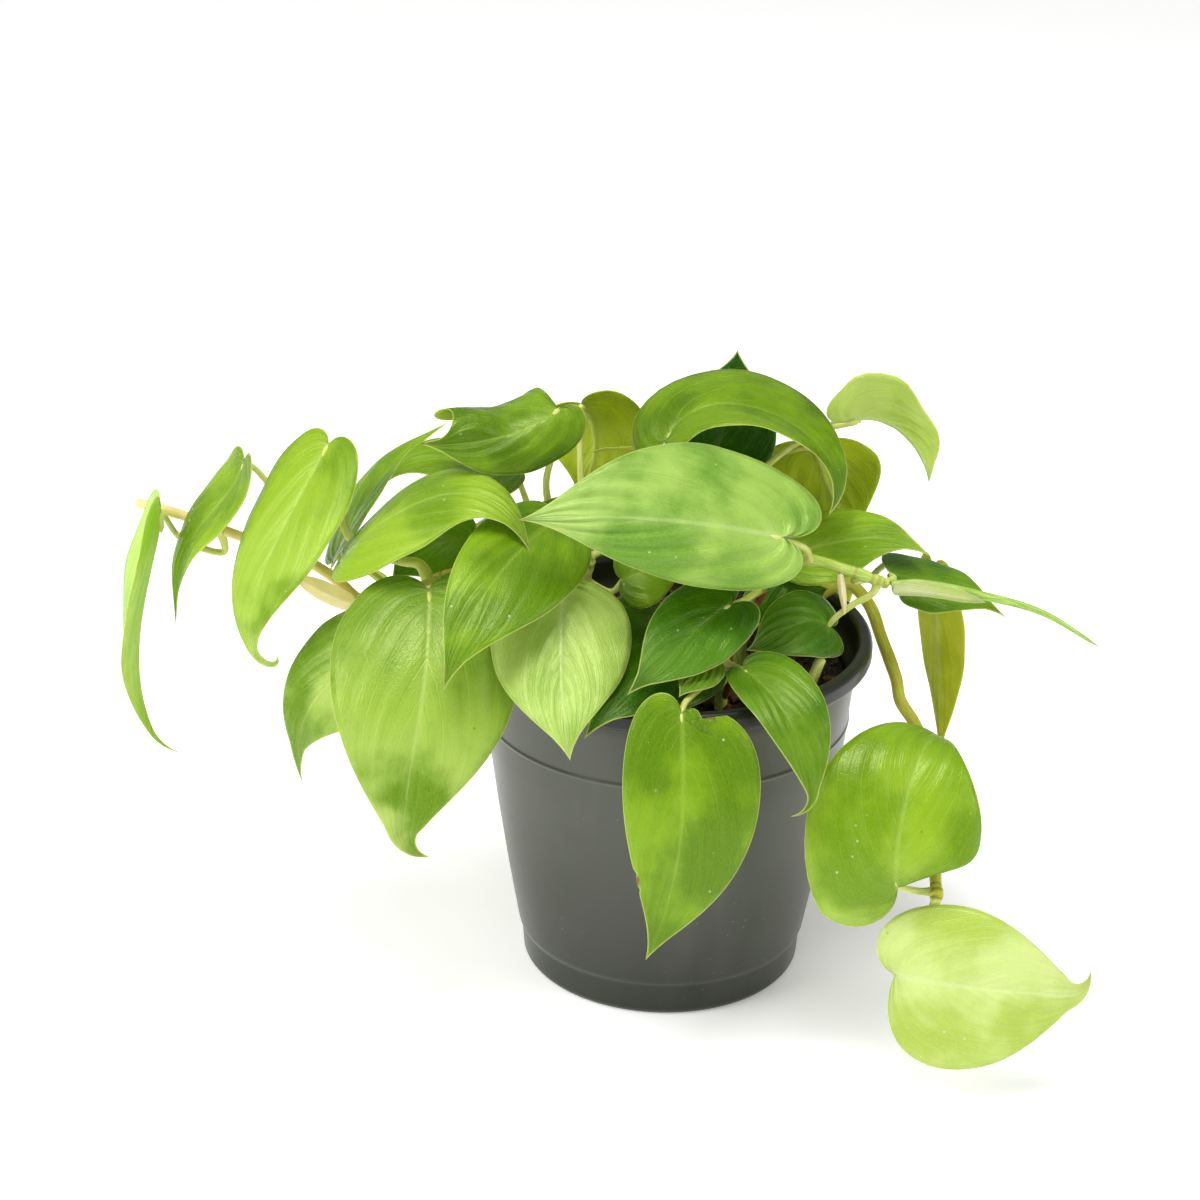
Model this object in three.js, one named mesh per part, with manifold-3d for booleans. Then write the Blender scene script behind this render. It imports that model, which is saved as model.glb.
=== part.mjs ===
// Heartleaf philodendron in a moulded nursery pot.
// Millimetres, +Z up, origin at the centre of the pot's underside. The front of the plant is -Y.
import * as THREE from 'three';
import Module from 'manifold-3d';
import { mergeVertices } from 'three/addons/utils/BufferGeometryUtils.js';

const wasm = await Module();
wasm.setup();

// Pot, as turned radii and heights
const POT_RIM_RADIUS = 75;
const POT_LIP_INNER_RADIUS = 69.6;
const POT_HEIGHT = 134;
const POT_RIM_UNDERSIDE = 126.5;
const POT_SHOULDER_RADIUS = 68;
const POT_SHOULDER_HEIGHT = 102;
const POT_BODY_FOOT_RADIUS = 54.6;
const POT_STEP_HEIGHT = 14;
const POT_FOOT_RADIUS = 51;
const POT_WALL = 1.8;
const POT_FLOOR = 2.4;
const POT_SEGMENTS = 36;
const DRAIN_HOLES = 6;
const DRAIN_HOLE_RADIUS = 4;
const DRAIN_RING_RADIUS = 34;

// Soil
const SOIL_LEVEL = 121;
const SOIL_LUMP = 2.6;
const SOIL_RINGS = 5;
const SOIL_SECTORS = 24;

// Clearances and leaf thickness
const GAP = 0.35;
const BLADE_THICKNESS = 0.7;
const PETIOLE_RADIUS = 1.4;
const PETIOLE_SIDES = 5;
const VINE_SIDES = 7;

const COLOURS = {
  pot: 0x4e504d,
  soil: 0x3a2a1e,
  vine: 0x93a552,
  leaf: 0x7db63a,
  youngLeaf: 0x9ccc4a,
  darkLeaf: 0x4f8a2c,
  sheath: 0xc9cf86,
  drySheath: 0xb0682c,
};

// Vines and stems. Each starts in the soil; radius is at the start and at the end.
const VINES = [
  { name: 'vine_left', radius: [2.6, 1.5],
    path: [[-22, -6, 96], [-28, -7, 120], [-48, -10, 144], [-76, -15, 160], [-91, -12, 152], [-110, -8, 145],
      [-124, 0, 152], [-140, 10, 157], [-160, 22, 158], [-180, 32, 161], [-202, 44, 162]] },
  { name: 'vine_right', radius: [2.6, 2.1],
    path: [[38, 20, 96], [45, 24, 118], [55, 29, 133], [67, 33, 139], [76, 30, 132], [81, 23, 121],
      [86, 12, 110], [88, 8, 102], [94, 2, 94], [99, -16, 85], [99, -40, 76], [96, -62, 71], [95, -79, 67]] },
  { name: 'vine_top_right', radius: [2.4, 1.8],
    path: [[24, -18, 96], [25, -18, 120], [27, -14, 142], [35, -14, 161], [47, -17, 169], [61, -19, 167],
      [76, -20, 162]] },
  { name: 'vine_back', radius: [2.4, 2.0],
    path: [[-6, 48, 96], [-8, 50, 120], [-10, 58, 137], [-14, 72, 144], [-21, 86, 138], [-27, 91, 122], [-30, 91, 104]] },
  { name: 'stem_centre', radius: [2.4, 1.8], path: [[16, 10, 96], [16, 10, 120], [15, 8, 150], [12, 4, 174]] },
  { name: 'stem_mid', radius: [2.3, 2.0], path: [[-34, -12, 96], [-34, -13, 120], [-33, -20, 150], [-30, -26, 172]] },
  { name: 'stem_front', radius: [2.5, 2.2], path: [[18, -44, 96], [18, -44, 118], [18, -44, 131], [18, -43, 142]] },
  { name: 'stem_right_front', radius: [2.2, 2.0], path: [[46, -36, 96], [48, -35, 120], [52, -35, 134], [54, -34, 139]] },
  { name: 'stem_left_top', radius: [2.5, 1.8], path: [[-30, 8, 96], [-32, 8, 120], [-38, 6, 150], [-44, 4, 176]] },
  { name: 'stem_back', radius: [2.5, 1.8], path: [[6, 34, 96], [7, 34, 120], [8, 34, 150], [6, 32, 168]] },
];

// Leaves. rib: four points that the midrib passes through, from the petiole's end to the tip.
// face: the way the upper face looks, at the base and at the tip. half: half the blade's width.
// fold: rise of each half at the midrib in degrees. curl: its turn from midrib to margin.
// petiole: elbow points between the vine and the blade.
const LEAVES = [
  { name: 'leaf_far_left', on: 'vine_left', half: 24, fold: 14, curl: 5,
    petiole: [[-168, 30, 148], [-183, 30, 153]],
    rib: [[-189, 18, 168], [-195, 14, 140], [-199, 12, 107], [-190, 10, 73]], face: [[-1, -0.16, 0], [-1, -0.16, 0]] },
  { name: 'leaf_left_small', on: 'vine_left', half: 17, fold: 12, curl: -20,
    petiole: [[-146, 22, 172], [-152, 24, 182]],
    rib: [[-158, 22, 187], [-167, 18, 172], [-178, 14, 157], [-183, 8, 130]], face: [[-0.8, -0.35, 0.45], [-0.9, -0.3, 0.2]] },
  { name: 'leaf_left_big', on: 'vine_left', half: [23, 25], fold: 12, curl: -30, lobe: [0.8, 0.7], stalk: 1.9,
    petiole: [[-91, -9, 161], [-98, -8, 162], [-110, -3, 163], [-118, 0, 169], [-121, 3, 181], [-123, 5, 193]],
    rib: [[-125, 5, 201], [-139, -8, 176], [-151, -18, 147], [-146, -20, 124]], face: [[-0.65, -0.6, 0.4], [-0.75, -0.6, 0]] },
  { name: 'leaf_up_left', on: 'vine_left', half: 17, fold: 15, curl: -20,
    petiole: [[-105, 5, 149], [-117, 13, 151]],
    rib: [[-124, 16, 153], [-114, 22, 172], [-102, 28, 186], [-85, 34, 199]], face: [[-0.75, -0.05, 0.7], [-0.6, -0.1, 0.8]] },
  { name: 'leaf_arch_left', on: 'vine_left', half: [23, 20], fold: [10, 0], curl: -30, lobe: 0.8,
    petiole: [[-103, -16, 156], [-112, -17, 164]],
    rib: [[-117, -18, 169], [-96, -24, 188], [-71, -30, 197], [-51, -41, 182]], face: [[-0.35, -0.25, 0.95], [0.5, -0.5, 0.7]] },
  { name: 'leaf_rolled_top', on: 'stem_left_top', half: [15, 25], fold: [36, -24], curl: [-25, -52], lobe: [0.9, 1.9],
    petiole: [[-46, 2, 190], [-42, 1, 208]],
    rib: [[-40, -3, 221], [-53, -7, 217], [-70, -12, 218], [-89, -18, 211]], face: [[0, -0.2, 1], [0, -0.2, 1]] },
  { name: 'leaf_under_top', on: 'stem_left_top', half: 18, fold: 10, curl: -25,
    petiole: [[-50, 10, 172], [-55, 12, 183]],
    rib: [[-57, 11, 190], [-71, 11, 192], [-87, 9, 195], [-103, 5, 188]], face: [[0, -0.2, 1], [-0.2, -0.3, 1]] },
  { name: 'leaf_back_hanging', on: 'stem_left_top', half: [20, 22], fold: 10, curl: -20,
    petiole: [[-34, 14, 168], [-34, 26, 190], [-35, 34, 202]],
    rib: [[-34, 38, 207], [-29, 42, 194], [-30, 40, 181], [-35, 36, 170]], face: [[0.1, 0.9, 0.4], [0.1, 1, 0]] },
  { name: 'leaf_centre_big', on: 'vine_top_right', half: [31, 22], fold: [8, -12], curl: [-15, -35], lobe: [2, 1.2],
    petiole: [[46, -32, 180]],
    rib: [[37, -42, 188], [6, -50, 196], [-24, -56, 200], [-53, -60, 200]], face: [[0, -0.6, 0.8], [0, -0.8, 0.6]] },
  { name: 'leaf_top_arch', on: 'stem_centre', half: [18, 23], fold: [10, 20], curl: -18, lobe: [0.6, 1.4],
    petiole: [[2, 2, 184], [-2, 2, 197]],
    rib: [[-3, 0, 208], [22, 4, 220], [50, 0, 208], [56, -14, 187]], face: [[0, 0, 1], [0.7, -0.2, 0.65]] },
  { name: 'leaf_back_dark', on: 'stem_back', half: 20, fold: 15, curl: -20,
    petiole: [[10, 28, 178]],
    rib: [[16, 25, 187], [18, 28, 198], [21, 32, 214], [23, 36, 230]], face: [[0, -0.9, 0.3], [0, -0.9, 0.3]] },
  { name: 'leaf_back_right', on: 'stem_back', half: 22, fold: 8, curl: -20, lobe: 1.3,
    petiole: [[17, 38, 166], [36, 36, 186], [46, 30, 194]],
    rib: [[53, 28, 195], [58, 33, 180], [64, 32, 167], [70, 28, 157]], face: [[0.1, 0.9, 0.4], [0.1, 1, 0]] },
  { name: 'leaf_right_point', on: 'stem_centre', half: [17, 16], fold: 10, curl: -25,
    petiole: [[30, 6, 161]],
    rib: [[42, 5, 161], [58, 6, 166], [75, 3, 170], [91, -4, 168]], face: [[0, -0.5, 0.85], [0, -0.5, 0.85]] },
  { name: 'leaf_upper_right', on: 'stem_centre', half: [21, 15], fold: [34, 30], curl: -10, lobe: [3, 2.2],
    petiole: [[22, 10, 182], [40, 20, 196], [53, 19, 205]],
    rib: [[65, 18, 210], [75, 19, 210], [86, 16, 204], [93, 11, 191]], face: [[0, 0.65, 0.75], [0.5, 0.65, 0.5]] },
  { name: 'leaf_centre_left', on: 'stem_mid', half: [17, 24], fold: 10, curl: -25, lobe: 0.8,
    petiole: [[-36, -24, 179]],
    rib: [[-43, -23, 185], [-58, -49, 179], [-70, -70, 167], [-78, -84, 148]], face: [[0.2, -0.5, 0.85], [0, -0.8, 0.6]] },
  { name: 'leaf_back_centre', on: 'stem_mid', half: 13, fold: 10, curl: -25,
    petiole: [[-24, -18, 174]],
    rib: [[-27, -12, 179], [-37, -13, 179], [-48, -13, 178], [-60, -15, 175]], face: [[0, -0.6, 0.8], [0, -0.6, 0.8]] },
  { name: 'leaf_front_light', on: 'stem_mid', half: 25, fold: 8, curl: -30, lobe: 0.6,
    petiole: [[-33, -34, 166]],
    rib: [[-38, -45, 169], [-39, -59, 154], [-38, -76, 140], [-35, -92, 126]], face: [[0, -0.7, 0.7], [0, -0.8, 0.6]] },
  { name: 'leaf_front_left', on: 'vine_left', half: 34, fold: 10, curl: [-30, -45],
    petiole: [[-90, -26, 160]],
    rib: [[-86, -40, 164], [-86, -68, 142], [-90, -85, 115], [-92, -95, 86]], face: [[0, -0.7, 0.7], [0, -0.9, 0.3]] },
  { name: 'leaf_left_low', on: 'vine_left', half: 22, fold: 10, curl: -25,
    petiole: [[-103, -19, 146]],
    rib: [[-100, -26, 143], [-116, -33, 130], [-129, -36, 116], [-134, -36, 93]], face: [[-0.4, -0.6, 0.6], [-0.6, -0.7, 0.3]] },
  { name: 'leaf_front_torn', on: 'stem_front', half: [21, 27], fold: 8, curl: -25, lobe: [1, 0.3],
    petiole: [[12, -56, 138], [5, -72, 139]],
    rib: [[3, -80, 138], [4, -90, 112], [2, -95, 84], [-7, -97, 51]], face: [[0, -0.9, 0.3], [0, -1, 0.1]] },
  { name: 'leaf_behind_centre', on: 'stem_mid', half: [22, 17], fold: 8, curl: -12, lobe: 0.6,
    petiole: [[-20, -16, 146], [2, -20, 146]],
    rib: [[6, -32, 147], [-5, -50, 145], [-17, -67, 140], [-28, -80, 131]], face: [[0.2, -0.6, 0.8], [0, -0.7, 0.7]] },
  { name: 'leaf_small_olive', on: 'stem_front', half: 8, fold: 10, curl: -25,
    petiole: [[15, -48, 146]],
    rib: [[13, -54, 147], [10, -61, 146], [6, -68, 144], [2, -74, 141]], face: [[0.2, -0.6, 0.8], [0, -0.7, 0.7]] },
  { name: 'leaf_dark_heart', on: 'vine_top_right', half: [16, 15], fold: 10, curl: -20, lobe: 1.8,
    petiole: [[26, -28, 158]],
    rib: [[20, -42, 162], [8, -54, 157], [-3, -66, 151], [-15, -76, 144]], face: [[0.2, -0.6, 0.8], [0, -0.7, 0.7]] },
  { name: 'leaf_bright', on: 'stem_mid', half: 13, fold: 10, curl: -25,
    petiole: [[-22, -28, 160]],
    rib: [[-18, -30, 166], [-10, -32, 170], [-2, -32, 172], [6, -32, 173]], face: [[0, -0.8, 0.6], [0, -0.8, 0.6]] },
  { name: 'leaf_right_front', on: 'stem_front', half: [10, 16], fold: [25, 6], curl: -25, lobe: [0.9, 0.8],
    petiole: [[22, -48, 141]],
    rib: [[25, -57, 144], [36, -73, 139], [44, -84, 127], [49, -90, 106]], face: [[0.1, -0.8, 0.6], [0.2, -0.9, 0.2]] },
  { name: 'leaf_small_right', on: 'vine_top_right', half: [13, 15], fold: 10, curl: -20, lobe: 2,
    petiole: [[72, -20, 158], [66, -20, 154], [60, -20, 149]],
    rib: [[57, -20, 145], [46, -28, 149], [36, -34, 146], [27, -40, 144]], face: [[0.1, -0.6, 0.8], [0, -0.7, 0.7]] },
  { name: 'leaf_dark_small', on: 'vine_top_right', half: 14, fold: 8, curl: -20, lobe: 1.5,
    petiole: [[30, -8, 138]],
    rib: [[35, -8, 141], [41, -6, 146], [49, -3, 149], [58, 0, 151]], face: [[-0.1, -0.8, 0.6], [0, -0.8, 0.6]] },
  { name: 'leaf_far_right', on: 'vine_top_right', half: 15, fold: 8, curl: -25,
    petiole: [[80, -13, 161]],
    rib: [[80, -6, 160], [91, -6, 157], [105, -9, 154], [119, -12, 148]], face: [[0, -0.3, 1], [0, -0.3, 1]] },
  { name: 'leaf_strip', on: 'vine_top_right', half: 15, fold: 14, curl: -15,
    petiole: [[66, -13, 160], [72, -4, 157], [80, 10, 157], [90, 17, 154]],
    rib: [[98, 16, 152], [101, 15, 128], [103, 12, 104], [104, 8, 80]], face: [[0.9, 0.5, 0.1], [0.9, 0.5, 0.1]] },
  { name: 'leaf_right_low', on: 'vine_right', half: [30, 33], fold: 8, curl: -30, lobe: [0.1, 2],
    petiole: [[88, -76, 68]],
    rib: [[80, -86, 75], [80, -83, 96], [87, -67, 116], [98, -45, 112]], face: [[0, -0.9, 0.4], [0.3, 0.2, 0.9]] },
  { name: 'leaf_lowest', on: 'vine_right', half: [30, 28], fold: 6, curl: -20, lobe: [0.3, 1.5],
    petiole: [[93, -82, 59], [87, -87, 48]],
    rib: [[81, -92, 43], [103, -97, 42], [126, -99, 41], [149, -94, 38]], face: [[0, -0.9, 0.4], [0, -0.9, 0.4]] },
  { name: 'leaf_dark_under', on: 'stem_left_top', half: 15, fold: 10, curl: -25,
    petiole: [[-56, 8, 160]],
    rib: [[-73, 7, 166], [-84, 4, 164], [-94, 2, 159], [-102, 0, 151]], face: [[0, -0.5, 0.8], [-0.3, -0.7, 0.5]] },
  { name: 'leaf_edge', on: 'stem_back', half: 8, fold: 6, curl: -10,
    petiole: [[0, 26, 162], [-4, 20, 190]],
    rib: [[-6, 17, 198], [-14, 19, 197], [-22, 21, 196], [-30, 22, 194]], face: [[0, 0.4, 0.9], [0, 0.4, 0.9]] },
  { name: 'leaf_rear_left', on: 'vine_back', half: 27, fold: 10, curl: -25,
    petiole: [[-18, 70, 150], [-30, 74, 154]],
    rib: [[-36, 80, 151], [-43, 95, 132], [-48, 103, 108], [-50, 107, 82]], face: [[-0.3, 0.8, 0.6], [-0.3, 1, 0.1]] },
  { name: 'leaf_rear_middle', on: 'vine_back', half: 25, fold: 10, curl: -25,
    petiole: [[-6, 66, 150], [2, 74, 154]],
    rib: [[6, 80, 152], [13, 95, 136], [17, 104, 114], [18, 109, 90]], face: [[0.1, 0.8, 0.6], [0.1, 1, 0.1]] },
  { name: 'leaf_rear_low', on: 'vine_back', half: 26, fold: 10, curl: -25,
    petiole: [[-31, 95, 98]],
    rib: [[-28, 99, 96], [-21, 103, 76], [-16, 104, 54], [-16, 102, 34]], face: [[0.1, 0.9, 0.4], [0.1, 1, 0.1]] },
  { name: 'leaf_rear_right', on: 'stem_back', half: 22, fold: 10, curl: -25,
    petiole: [[18, 48, 150], [30, 60, 152]],
    rib: [[40, 66, 148], [53, 77, 132], [60, 83, 110], [60, 86, 86]], face: [[0.4, 0.8, 0.6], [0.4, 0.9, 0.1]] },
  { name: 'leaf_rear_high', on: 'stem_back', half: 21, fold: 10, curl: -25,
    petiole: [[2, 44, 170]],
    rib: [[-2, 54, 174], [-4, 70, 172], [-8, 84, 162], [-12, 92, 148]], face: [[0, 0.4, 0.9], [0, 0.9, 0.4]] },
  { name: 'leaf_rear_side', on: 'stem_left_top', half: 20, fold: 10, curl: -25,
    petiole: [[-42, 18, 158]],
    rib: [[-52, 36, 166], [-60, 50, 157], [-66, 62, 141], [-68, 69, 122]], face: [[-0.4, 0.5, 0.8], [-0.4, 0.9, 0.2]] },
];

// Papery sheaths beside the nodes: narrow, folded, without a petiole
const SHEATHS = [
  { name: 'sheath_left', half: 6, fold: 20, curl: 50, colour: 'sheath',
    rib: [[-114.5, -9.2, 144.8], [-122, -12.5, 149], [-129, -13, 153], [-137, -12, 157]], face: [[0, 0.9, -0.3], [0, 0.9, -0.3]] },
  { name: 'sheath_right', half: 4.6, fold: 8, curl: 75, colour: 'sheath',
    rib: [[78.5, -24.2, 160.6], [89, -25.2, 161], [100, -26, 160], [112, -26.2, 158]], face: [[0, 1, 0.1], [0, 1, 0.1]] },
  { name: 'sheath_front', half: 3, fold: 40, curl: 30, colour: 'drySheath',
    rib: [[19.2, -46.9, 127.6], [20.5, -48.6, 131.5], [21.5, -49.6, 135.5], [22.4, -50.4, 139]], face: [[0, 0.9, 0.2], [0, 0.9, 0.2]] },
  { name: 'sheath_small_right', half: 2.6, fold: 40, curl: 30, colour: 'sheath',
    rib: [[60.2, -20.9, 165.9], [60.6, -22.8, 161], [61.5, -23.5, 156], [62, -24, 151]], face: [[0, 0.9, 0.2], [0, 0.9, 0.2]] },
  { name: 'sheath_dry', half: 2.4, fold: 40, curl: 30, colour: 'drySheath',
    rib: [[29, -19, 147], [31, -19, 151], [33, -18, 154], [35, -18, 157]], face: [[-0.5, 0.8, 0.2], [-0.5, 0.8, 0.2]] },
];

// The young leaf at the end of the right-hand vine, still rolled into a spindle
const SHOOT = { name: 'shoot', radius: [2, 0.6],
  path: [[78.6, -20.3, 161.3], [91, -21, 162], [110, -22, 159], [133, -23, 153], [155, -24, 140]] };

// Heart outline of one half, in shares of the rib's length and of the half width:
// from the sinus round the lobe to the widest place, and on to the drawn-out tip.
const LOBE_REACH = 0.13;
const WIDEST = 0.26;
const TIP_CURVE = [[WIDEST, 1], [0.64, 1.02], [0.82, 0.16], [1, 0]];
const LOBE_ROWS = 4;
const TIP_ROWS = 5;
const HALF_COLUMNS = 2;
const SMALL_HALF = 18;

// Outline of one half of a sheath, from the node to its point
const SHEATH_CURVE = [[0, 0.5], [0.3, 1.1], [0.7, 0.9], [1, 0]];
const SHEATH_ROWS = 4;

function bezier(points, t) {
  const s = 1 - t;
  const weights = [s * s * s, 3 * s * s * t, 3 * s * t * t, t * t * t];
  return [0, 1].map((axis) => points.reduce((sum, p, i) => sum + weights[i] * p[axis], 0));
}

// The cubic that passes through four points at 0, 1/3, 2/3 and 1
function curveThrough(points) {
  const [a, b, c, d] = points.map((p) => new THREE.Vector3(...p));
  const first = a.clone().multiplyScalar(-5).addScaledVector(b, 18).addScaledVector(c, -9).addScaledVector(d, 2);
  const second = a.clone().multiplyScalar(2).addScaledVector(b, -9).addScaledVector(c, 18).addScaledVector(d, -5);
  return new THREE.CubicBezierCurve3(a, first.divideScalar(6), second.divideScalar(6), d);
}

// A value for the two halves of a blade: one number for both, or one each
function eachSide(value) {
  return Array.isArray(value) ? value : [value, value];
}

// A place on the blade's middle surface: u along the rib, v across it from -1 to 1
function bladePoint(leaf, curve, length, u, v) {
  const share = THREE.MathUtils.clamp(u, 0, 1);
  const place = curve.getPointAt(share);
  const along = curve.getTangentAt(share);
  if (u < 0) {
    place.addScaledVector(along, u * length);
  }
  const face = new THREE.Vector3(...leaf.face[0]).lerp(new THREE.Vector3(...leaf.face[1]), share);
  face.addScaledVector(along, -face.dot(along)).normalize();
  const across = along.clone().cross(face).normalize();
  const side = v < 0 ? 1 : 0;
  const half = eachSide(leaf.half)[side];
  const fold = THREE.MathUtils.degToRad(eachSide(leaf.fold)[side]);
  const turn = THREE.MathUtils.degToRad(eachSide(leaf.curl)[side]) / half;
  const reach = Math.abs(v) * half;
  const bend = Math.abs(turn) < 1e-6 ? 1e-6 : turn;
  const lateral = (Math.sin(fold + bend * reach) - Math.sin(fold)) / bend;
  const height = (Math.cos(fold) - Math.cos(fold + bend * reach)) / bend;
  return place.addScaledVector(across, Math.sign(v) * lateral).addScaledVector(face, height);
}

// A closed sheet: the same triangles on both faces, joined round the outline
function thicken(points, triangles, thickness) {
  const sheet = new THREE.BufferGeometry();
  sheet.setAttribute('position', new THREE.Float32BufferAttribute(points.flatMap((p) => p.toArray()), 3));
  sheet.setIndex(triangles.flat());
  sheet.computeVertexNormals();
  const normals = sheet.attributes.normal;
  const count = points.length;
  const vertices = [];
  for (const sign of [1, -1]) {
    for (let i = 0; i < count; i += 1) {
      const normal = new THREE.Vector3().fromBufferAttribute(normals, i);
      vertices.push(points[i].clone().addScaledVector(normal, sign * thickness / 2));
    }
  }
  const faces = [];
  const edges = new Map();
  for (const [a, b, c] of triangles) {
    faces.push([a, b, c], [count + a, count + c, count + b]);
    for (const [from, to] of [[a, b], [b, c], [c, a]]) {
      edges.set(`${from},${to}`, [from, to]);
    }
  }
  for (const [from, to] of edges.values()) {
    if (!edges.has(`${to},${from}`)) {
      faces.push([from, count + from, count + to], [from, count + to, to]);
    }
  }
  return solidOf(vertices, faces);
}

function solidOf(vertices, faces) {
  return new wasm.Manifold(new wasm.Mesh({
    numProp: 3,
    vertProperties: new Float32Array(vertices.flatMap((p) => p.toArray())),
    triVerts: new Uint32Array(faces.flat()),
  }));
}

// Rows from the sinus to the tip: where each meets the margin, on either half, and where it meets the rib
function bladeRows(leaf) {
  const lobes = eachSide(leaf.lobe ?? 1).map((scale) => {
    const back = -LOBE_REACH * scale;
    return [[0, 0], [back, 0.08], [back, 0.95], [WIDEST, 1]];
  });
  const spare = Math.max(...eachSide(leaf.half)) < SMALL_HALF ? 1 : 0;
  const lobeRows = LOBE_ROWS - spare;
  const tipRows = TIP_ROWS - spare;
  const rows = [];
  for (let i = 1; i <= lobeRows; i += 1) {
    const t = i / lobeRows;
    rows.push({ margins: lobes.map((lobe) => bezier(lobe, t)), rib: 0.12 * t * t });
  }
  for (let i = 1; i < tipRows; i += 1) {
    const t = i / tipRows;
    const margin = bezier(TIP_CURVE, t);
    rows.push({ margins: [margin, margin], rib: 0.12 + 0.88 * t });
  }
  return rows;
}

function sheathRows() {
  const rows = [];
  for (let i = 1; i < SHEATH_ROWS; i += 1) {
    const margin = bezier(SHEATH_CURVE, i / SHEATH_ROWS);
    rows.push({ margins: [margin, margin], rib: margin[0] });
  }
  return rows;
}

// A blade of the given rows, with one point at the base and one at the tip
function blade(leaf, rows) {
  const curve = curveThrough(leaf.rib);
  const length = curve.getLength();
  const points = [bladePoint(leaf, curve, length, 0, 0)];
  const index = [];
  for (const row of rows) {
    const line = [];
    for (let j = -HALF_COLUMNS; j <= HALF_COLUMNS; j += 1) {
      const share = Math.abs(j) / HALF_COLUMNS;
      const [reach, width] = row.margins[j < 0 ? 1 : 0];
      const u = THREE.MathUtils.lerp(row.rib, reach, share);
      line.push(points.length);
      points.push(bladePoint(leaf, curve, length, u, Math.sign(j) * width * share));
    }
    index.push(line);
  }
  const tip = points.length;
  points.push(bladePoint(leaf, curve, length, 1, 0));
  const triangles = [];
  const first = index[0];
  const last = index[index.length - 1];
  for (let j = 0; j < first.length - 1; j += 1) {
    triangles.push([0, first[j], first[j + 1]]);
    triangles.push([last[j], tip, last[j + 1]]);
  }
  for (let i = 0; i < index.length - 1; i += 1) {
    for (let j = 0; j < first.length - 1; j += 1) {
      const [a, b, c, d] = [index[i][j], index[i][j + 1], index[i + 1][j], index[i + 1][j + 1]];
      triangles.push([a, c, b], [b, c, d]);
    }
  }
  return thicken(points, triangles, BLADE_THICKNESS);
}

// A closed round stem along a smooth curve, tapering from one radius to the other.
// deeper: how far its first ring stands back from the curve's start.
function stem(curve, radii, sides, steps, deeper = 0) {
  const frames = curve.computeFrenetFrames(steps, false);
  const vertices = [];
  const faces = [];
  for (let i = 0; i <= steps; i += 1) {
    const place = curve.getPointAt(i / steps);
    if (i === 0) {
      place.addScaledVector(frames.tangents[0], -deeper);
    }
    const radius = THREE.MathUtils.lerp(radii[0], radii[1], i / steps);
    for (let j = 0; j < sides; j += 1) {
      const angle = (2 * Math.PI * j) / sides;
      vertices.push(place.clone()
        .addScaledVector(frames.normals[i], Math.cos(angle) * radius)
        .addScaledVector(frames.binormals[i], Math.sin(angle) * radius));
    }
  }
  for (let i = 0; i < steps; i += 1) {
    for (let j = 0; j < sides; j += 1) {
      const k = (j + 1) % sides;
      const [a, b, c, d] = [i * sides + j, i * sides + k, (i + 1) * sides + j, (i + 1) * sides + k];
      faces.push([a, b, c], [b, d, c]);
    }
  }
  for (let j = 1; j < sides - 1; j += 1) {
    faces.push([0, j + 1, j]);
    faces.push([steps * sides, steps * sides + j, steps * sides + j + 1]);
  }
  return solidOf(vertices, faces);
}

function smooth(points) {
  return new THREE.CatmullRomCurve3(points.map((p) => new THREE.Vector3(...p)), false, 'catmullrom', 0.5);
}

const vineCurves = new Map(VINES.map((vine) => [vine.name, { curve: smooth(vine.path), radius: vine.radius }]));

// The petiole starts just clear of its vine, at the vine's nearest place to the first elbow
function petiole(leaf) {
  const vine = vineCurves.get(leaf.on);
  const rib = curveThrough(leaf.rib);
  const next = new THREE.Vector3(...(leaf.petiole[0] ?? leaf.rib[0]));
  let share = 0;
  let best = Infinity;
  for (let i = 0; i <= 200; i += 1) {
    const distance = vine.curve.getPointAt(i / 200).distanceTo(next);
    if (distance < best) {
      best = distance;
      share = i / 200;
    }
  }
  const axis = vine.curve.getPointAt(share);
  const away = next.clone().sub(axis).normalize();
  const radius = THREE.MathUtils.lerp(vine.radius[0], vine.radius[1], share);
  const across = share < 1 ? 1 : away.clone().cross(vine.curve.getTangentAt(1)).length();
  const start = axis.clone().addScaledVector(away, radius * across + GAP + 0.1);
  const base = rib.getPointAt(0);
  const underRib = rib.getPointAt(0.06);
  const points = [start.toArray(), ...leaf.petiole, base.toArray(), underRib.toArray()];
  const curve = smooth(points);
  const stalk = leaf.stalk ?? PETIOLE_RADIUS;
  const steps = Math.max(3, Math.round(curve.getLength() / 11));
  return stem(curve, [stalk, stalk * 0.8], PETIOLE_SIDES, steps);
}

const group = new THREE.Group();

function addNode(name, solid, colour, roughness) {
  const mesh = solid.getMesh();
  const geometry = new THREE.BufferGeometry();
  geometry.setAttribute('position', new THREE.Float32BufferAttribute(mesh.vertProperties, 3));
  geometry.setIndex(Array.from(mesh.triVerts));
  const node = new THREE.Mesh(geometry, new THREE.MeshStandardMaterial({ color: colour, roughness, metalness: 0 }));
  node.name = name;
  group.add(node);
}

function fromGeometry(geometry) {
  geometry.deleteAttribute('normal');
  geometry.deleteAttribute('uv');
  const merged = mergeVertices(geometry, 1e-4);
  return new wasm.Manifold(new wasm.Mesh({
    numProp: 3,
    vertProperties: new Float32Array(merged.attributes.position.array),
    triVerts: new Uint32Array(merged.index.array),
  }));
}

function turned(profile, segments) {
  const geometry = new THREE.LatheGeometry(profile.map(([r, z]) => new THREE.Vector2(r, z)), segments);
  geometry.rotateX(Math.PI / 2);
  return fromGeometry(geometry);
}

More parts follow.
